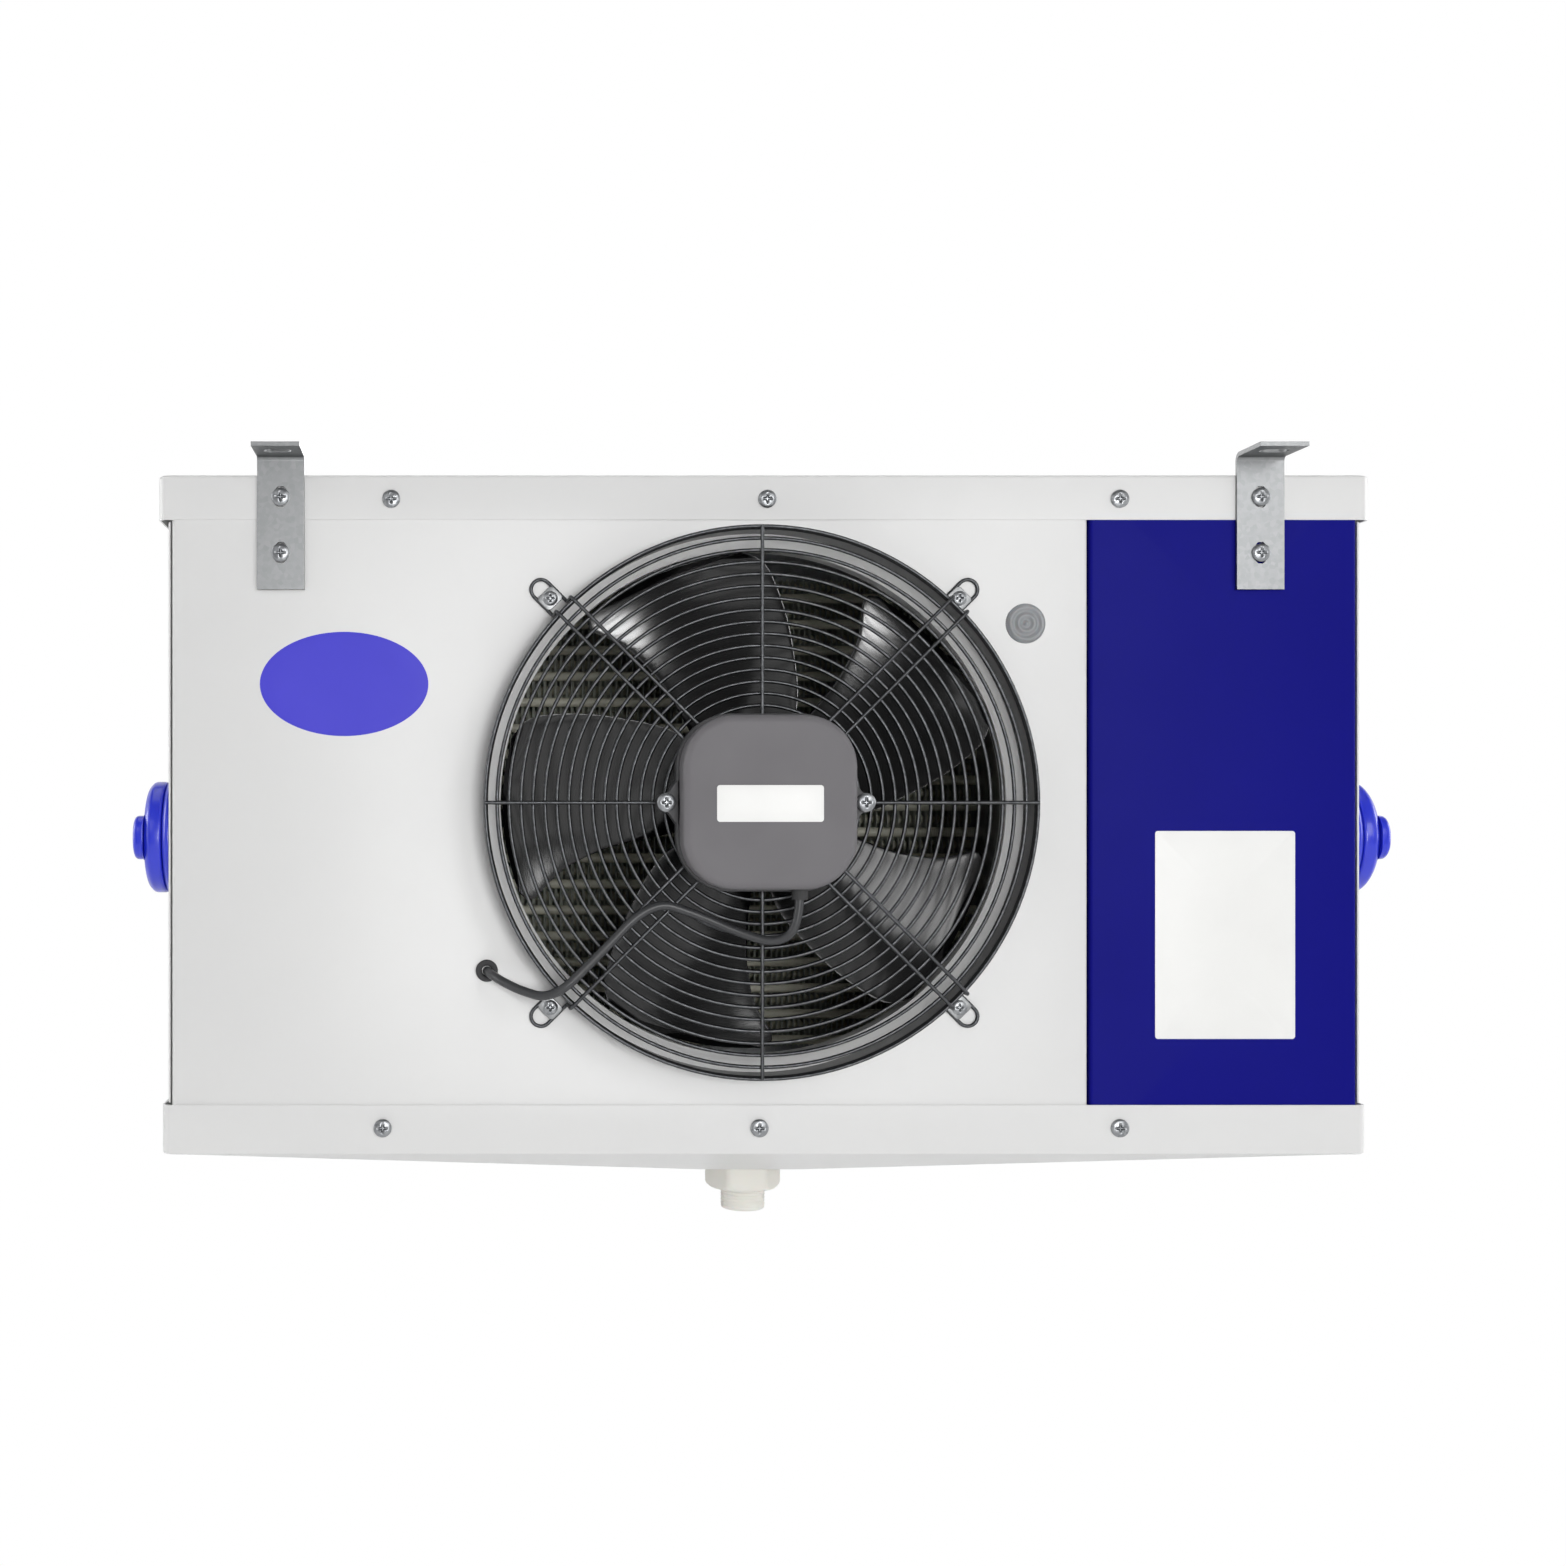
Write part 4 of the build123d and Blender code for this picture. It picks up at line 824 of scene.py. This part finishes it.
add_piece("grommet", grommet(), rubber_black, ["cable_grommet"], 60)
add_piece("hole_plug", plug(), plug_grey, ["blank_plug"], 60)


# %% Drain outlet and its nut
nut_low, nut_high = corners("drain_nut")
drain_x, drain_y, _ = (nut_low + nut_high) / 2
drain_axis = (drain_x, drain_y, 0)


def outlet(outer=0.0166, bore=0.0125, flange=0.024, pitch=0.0023, groove=0.0005):
    """A flange on the tray's floor and a tube with a shallow thread: radius = r - t |sin| by depth."""
    end, top = corners("drain_stub")[:, 2]
    depth = np.linspace(nut_high[2], end + 0.002, 56)
    thread = outer - groove * np.abs(np.sin(depth * np.pi / pitch))
    profile = [(flange, top), (flange, top - 0.003), (outer, top - 0.003), *zip(thread, depth)]
    profile += [(outer - 0.0007, end + 0.0007), (outer - 0.0018, end), (bore, end), (bore, top)]
    return turned(profile, drain_axis, "z", closed=True)


def nut(apothem=0.025, bore=0.0170):
    """Radius of a hexagon by angle, a / cos(angle to the middle of its side), rounded at its ends."""
    turn = full_turn(120)[:, None]
    hexagon = np.minimum(apothem / np.cos(turn % (np.pi / 3) - np.pi / 6), apothem * 1.128)
    share = np.array([0, 0.02, 0.07, 0.14, 0.24, 0.9, 0.97, 1.0])
    limit = apothem * np.array([0.93, 0.985, 1.04, 1.09, 1.2, 1.2, 1.12, 1.06])
    reach = np.pad(np.minimum(hexagon, limit), ((0, 0), (1, 1)), constant_values=bore)
    depth = nut_low[2] + (nut_high[2] - nut_low[2]) * np.pad(share, 1, "edge")
    points = [drain_x + reach * np.cos(turn), drain_y + reach * np.sin(turn), depth + 0 * reach]
    return grid_shape(np.stack(points, axis=-1), wrap_u=True, wrap_v=True)


def gasket(bore=0.0172, rim=0.0275):
    """The flat ring under the nut, its rim squeezed round."""
    low, high = corners("drain_gasket")[:, 2]
    profile = [(bore, low), (rim, low), (rim + 0.001, (low + high) / 2), (rim, high), (bore, high)]
    return turned(profile, drain_axis, "z", closed=True)


add_piece("drain_outlet", outlet(), fitting_white, ["drain_stub"], 40)
add_piece("lock_nut", nut(), fitting_white, ["drain_nut"], 25)
add_piece("nut_washer", gasket(), fitting_white, ["drain_gasket"], 40)


# %% [markdown]
# Copper tubes run to and fro through the fins, and a return bend joins each to the next. One circuit
# is one long tube: the path goes along a tube, round a half circle outside the end plate, and back.

# %% Coil tubes
def coil_circuits(circuits=3, tube_radius=0.00397, shortest=0.4):
    """Straight runs between half circles: middle + cos t (half step back) + sin t (outwards)."""
    boxes = solids_of("coil_tubes")
    straight = boxes[(boxes[:, 1, 0] - boxes[:, 0, 0]) > shortest]
    left, right = straight[:, 0, 0].min(), straight[:, 1, 0].max()
    centres = straight.mean(axis=1)[:, 1:]
    depths = np.unique(centres[:, 0].round(3))
    rows = [centres[np.abs(centres[:, 0] - depth) < 0.004] for depth in depths]
    rows = [row[np.argsort(row[:, 1])] for row in rows]
    levels = len(rows[0]) // circuits
    turn = np.linspace(0, np.pi, 9)[1:-1, None]
    shapes = []
    for circuit in range(circuits):
        span = slice(circuit * levels, (circuit + 1) * levels)
        order = np.concatenate([row[span][::(-1) ** index] for index, row in enumerate(rows)])
        path = [[(right, *order[0])]]
        for index, place in enumerate(order):
            end, side = (left, -1) if index % 2 == 0 else (right, 1)
            path.append([(end, *place)])
            if index + 1 < len(order):
                half = (order[index + 1] - place) / 2
                across = end + side * np.linalg.norm(half) * np.sin(turn)
                path += [np.hstack([across, place + half - np.cos(turn) * half]), [(end, *order[index + 1])]]
        shapes.append(tube(np.concatenate(path), tube_radius, (0, 1, 0), sides=12))
    return joined(shapes)


add_piece("coil_circuits", coil_circuits(), tube_film, ["coil_tubes"], 50)


# %% [markdown]
# The fins are thin sheets pressed into waves from front to rear, which stirs the air and also hides
# the far side of the coil. One fin is a sine wave along the depth, carried straight up, and closed
# at its edges by its own thickness. It is repeated across the coil at an even pitch.

# %% Fins
def wavy_fins(count=118, wave=0.0026, half=0.00016, setback=0.0095, steps=31):
    """Across = place + wave sin(2 turns of the depth past the first tubes) -+ half the thickness;
    the front stretch is flat and starts at the first tubes' axes, so they show as bars across it."""
    low, high = corners("coil_fins")
    depth = np.linspace(low[1] + setback, high[1], steps)
    share = (depth - low[1]) / (high[1] - low[1])
    across = wave * np.sin(np.clip(share - 0.3, 0, None) / 0.7 * 4 * np.pi)
    loop = np.concatenate([np.stack([across - half, depth], 1), np.stack([across + half, depth], 1)[::-1]])
    levels = [np.insert(loop, 2, height, axis=1) for height in (low[2], high[2])]
    vertices, wall = grid_shape(np.stack(levels), wrap_v=True)
    rib = np.arange(steps - 1)
    cap_quads = np.stack([rib, rib + 1, 2 * steps - 2 - rib, 2 * steps - 1 - rib], axis=1)
    quads = np.concatenate([wall, cap_quads, cap_quads + 2 * steps])
    places = np.linspace(low[0] + wave, high[0] - wave, count)
    return joined([(vertices + (place, 0, 0), quads) for place in places])


add_piece("fin_pack", wavy_fins(), fin_lacquer, ["coil_fins"], 60)


# %% [markdown]
# Quarter-turn latches close the side doors: a round rosette on the door, and on it a knob with a
# grip bar. All their edges are well rounded for the hand, by quarter circles from level to level.

# %% Latches
def latch_parts(side):
    """The rosette as a turned ring; the knob as a turned disc with a rounded bar on its face."""
    out = 1 if side == "right" else -1
    base, grip = corners(side + "_latch_base")[::out], corners(side + "_latch_knob")[::out]
    seat, tip = base[0][0], grip[1][0]
    centre = (0, *base.mean(axis=0)[1:])
    bore, rim, disc_rim, bar = 0.0091, 0.043, 0.040, (0.076, 0.031)
    rosette = [
        (bore, seat), (rim, seat), (rim, seat + out * 0.003), (0.0395, seat + out * 0.006),
        (bore, seat + out * 0.006),
    ]
    back, face, end = seat + out * 0.0065, tip - out * 0.0075, seat - out * 0.007
    disc = [(0, back), (disc_rim, back), (disc_rim, face - out * 0.004), (0.0355, face), (0, face)]
    steps = [(-0.001, face), (0, face + out * 0.001), (0, face + out * 0.004)]
    steps += [(inset, tip - out * drop) for inset, drop in bend_steps(0.0035, 6)[::-1]]
    levels = [level(centre[1:], bar, inset, 0.012, depth) for inset, depth in steps]
    first, last = ((*centre[1:], bar[0] - bar[1], 0, 0, depth) for depth in (face, tip))
    disc = disc[:1] + rounded(disc, 0.002)[4:-4].tolist() + disc[-1:]
    neck = [(0, back), (0.009, back), (0.009, end), (0, end)]
    bar_skin = stacked([first] + levels + [last], "x")
    knob = joined([turned(disc, centre, "x"), bar_skin, turned(neck, centre, "x", sides=32)])
    return turned(rounded(rosette, 0.0015), centre, "x", closed=True), knob


for side in ("right", "left"):
    ring, knob = latch_parts(side)
    rosette = add_piece(side + "_rosette", ring, latch_blue, [side + "_latch_base"], 35, side + "_door")
    knob = add_piece(side + "_knob", knob, latch_blue, [side + "_latch_knob"], 35, side + "_latch")


# %% [markdown]
# Three thin plates finish the front: a blank oval badge, a blank paper label on the cover and a
# blank film label on the motor cap. They carry no words. Each is a fraction of a millimetre thick
# with softened edges, so that it reads as a layer on the sheet and not as paint.

# %% Blank badge and labels
badge_blue = moulding("blue_vinyl_badge", "#3E38D0", "#3A34C8", 0.55)
label_paper = moulding("white_label_film", "#F0F0EE", "#E9E9E7", 0.4, grain_mm=0.5, grain_depth=0.005)
glue = 0.00005


def oval_badge(thickness=0.0005):
    """An ellipse scaled in steps to its middle; depth = face - t sqrt(1 - scale^4)."""
    turn = full_turn(96)
    middle, half = np.array([fan_x - 0.287, fan_z + 0.0833]), (0.059, 0.0365)
    outline = middle + np.stack([half[0] * np.cos(turn), half[1] * np.sin(turn)], axis=1)
    scale = np.linspace(0, 1, 14)
    depth = panel_face - thickness * np.sqrt(1 - scale ** 4 * 0.9999)
    return loft(outline, [*zip(scale, depth), (1, panel_face - glue), (0, panel_face - glue)])


def label(centre, size, face, thickness=0.0003):
    return bevelled_plate(centre, size, 0.002, (face - thickness, face - glue), thickness * 0.45)


add_piece("oval_badge", oval_badge(), badge_blue, smooth_to=50)
cover_label = label((fan_x + 0.3297, fan_z - 0.0924), (0.098, 0.1456), panel_face)
add_piece("cover_label", cover_label, label_paper)
motor_label = label((fan_x - 0.0003, fan_z - 0.0008), (0.0707, 0.0244), cap_low[1] + cap_dip)
add_piece("motor_label", motor_label, label_paper)


# %% [markdown]
# The other nodes already have the right shape. The table names the material that goes into the
# slots of each mesh.

# %% Finish of the remaining nodes
finishes = {
    white_paint: ["left_door", "right_door"],
    zinc_sheet: [
        "rear_frame", "left_end_plate", "right_end_plate", "left_hinge_fixed", "right_hinge_fixed",
        "left_hinge_moving", "right_hinge_moving", "left_latch_tongue", "right_latch_tongue",
    ],
    hanger_zinc: ["hanger_front_left", "hanger_front_right", "hanger_rear_left", "hanger_rear_right"],
    copper: ["suction_header", "feeder_tubes"],
    brass: ["liquid_distributor"],
    cast_motor: ["motor_end_bell"],
    ground_steel: ["rotor_shaft", "front_bearing", "rear_bearing", "left_hinge_pins", "right_hinge_pins"],
    laminations: ["stator", "motor_rotor"],
    box_grey: ["terminal_box", "terminal_box_lid"],
    rubber_black: ["pipe_grommets", "motor_gland"],
}
for finish, nodes in finishes.items():
    for node in nodes:
        mesh = frame["nodes"][node].data
        mesh.materials.clear()
        mesh.materials.append(finish)
print(sum(len(nodes) for nodes in finishes.values()), "nodes finished")


# %% [markdown]
# The set is a studio's: a white floor far below, a white wall behind and one at each side, and seven
# large soft lamps. The walls are diffuse white for light and shadow, and plain glowing white for
# the camera, mirrors and glass, so that the lamps can be set for the object alone.

# %% Floor, walls, lamps and world
stage_white = bpy.data.materials.new("studio_white")
stage_white.use_nodes = True
tree = stage_white.node_tree
tree.nodes.clear()
ray = add_node(tree, "ShaderNodeLightPath")
seen = ray.outputs["Is Camera Ray"]
for kind in ("Is Glossy Ray", "Is Transmission Ray"):
    either = add_node(tree, "ShaderNodeMath", {"operation": "MAXIMUM"}, {0: seen, 1: ray.outputs[kind]})
    seen = either.outputs[0]
paint = add_node(tree, "ShaderNodeBsdfDiffuse", {"Color": linear("#F4F4F4")})
glow = add_node(tree, "ShaderNodeEmission", {"Color": (1, 1, 1, 1), "Strength": 1.0})
mix = add_node(tree, "ShaderNodeMixShader", None, {0: seen, 1: paint.outputs[0], 2: glow.outputs[0]})
add_node(tree, "ShaderNodeOutputMaterial", None, {"Surface": mix.outputs[0]})


def stage_sheet(name, outline):
    mesh = bpy.data.meshes.new(name)
    mesh.from_pydata(outline, [], [(0, 1, 2, 3)])
    mesh.materials.append(stage_white)
    piece = bpy.data.objects.new(name, mesh)
    bpy.context.scene.collection.objects.link(piece)


reach, base = 6, -1.7
near_left, near_right = (-reach, -reach), (reach, -reach)
far_left, far_right = (-reach, reach), (reach, reach)
stage_sheet("floor", [(*place, base) for place in (near_left, near_right, far_right, far_left)])
for name, start, end in (
    ("backdrop", far_left, far_right),
    ("left_wall", near_left, far_left),
    ("right_wall", far_right, near_right),
):
    stage_sheet(name, [(*start, base), (*end, base), (*end, reach), (*start, reach)])

# Each lamp faces the middle of the object.
for name, place, size, watts in (
    ("front_lamp", (0.3, -3.6, -0.12), (0.9, 0.9), 50),
    ("key_lamp", (-1.6, -2.8, 1.1), (1.2, 1.2), 7),
    ("side_lamp", (1.4, -3.0, 0.6), (1.0, 1.3), 19),
    ("top_lamp", (0.0, 0.3, 1.9), (2.4, 1.6), 14),
    ("left_lamp", (-3.2, 0.2, 0.4), (1.6, 1.6), 42),
    ("right_lamp", (3.2, 0.2, 0.4), (1.6, 1.6), 42),
    ("rear_lamp", (0.4, 3.3, 0.5), (1.8, 1.6), 42),
):
    data = bpy.data.lights.new(name, "AREA")
    data.shape = "RECTANGLE"
    data.size, data.size_y = size
    data.energy = watts
    lamp = bpy.data.objects.new(name, data)
    lamp.location = place
    across, depth, up = np.array((cad_low + cad_high) / 2) - place
    tilt, turn = math.atan2(math.hypot(across, depth), -up), math.atan2(depth, across) - math.pi / 2
    lamp.rotation_euler = (tilt, 0, turn)
    bpy.context.scene.collection.objects.link(lamp)
world = bpy.data.worlds.new("studio_world")
world.use_nodes = True
bpy.context.scene.world = world
background = world.node_tree.nodes["Background"]
background.inputs["Color"].default_value = (1, 1, 1, 1)
background.inputs["Strength"].default_value = 0.18
print("studio set")
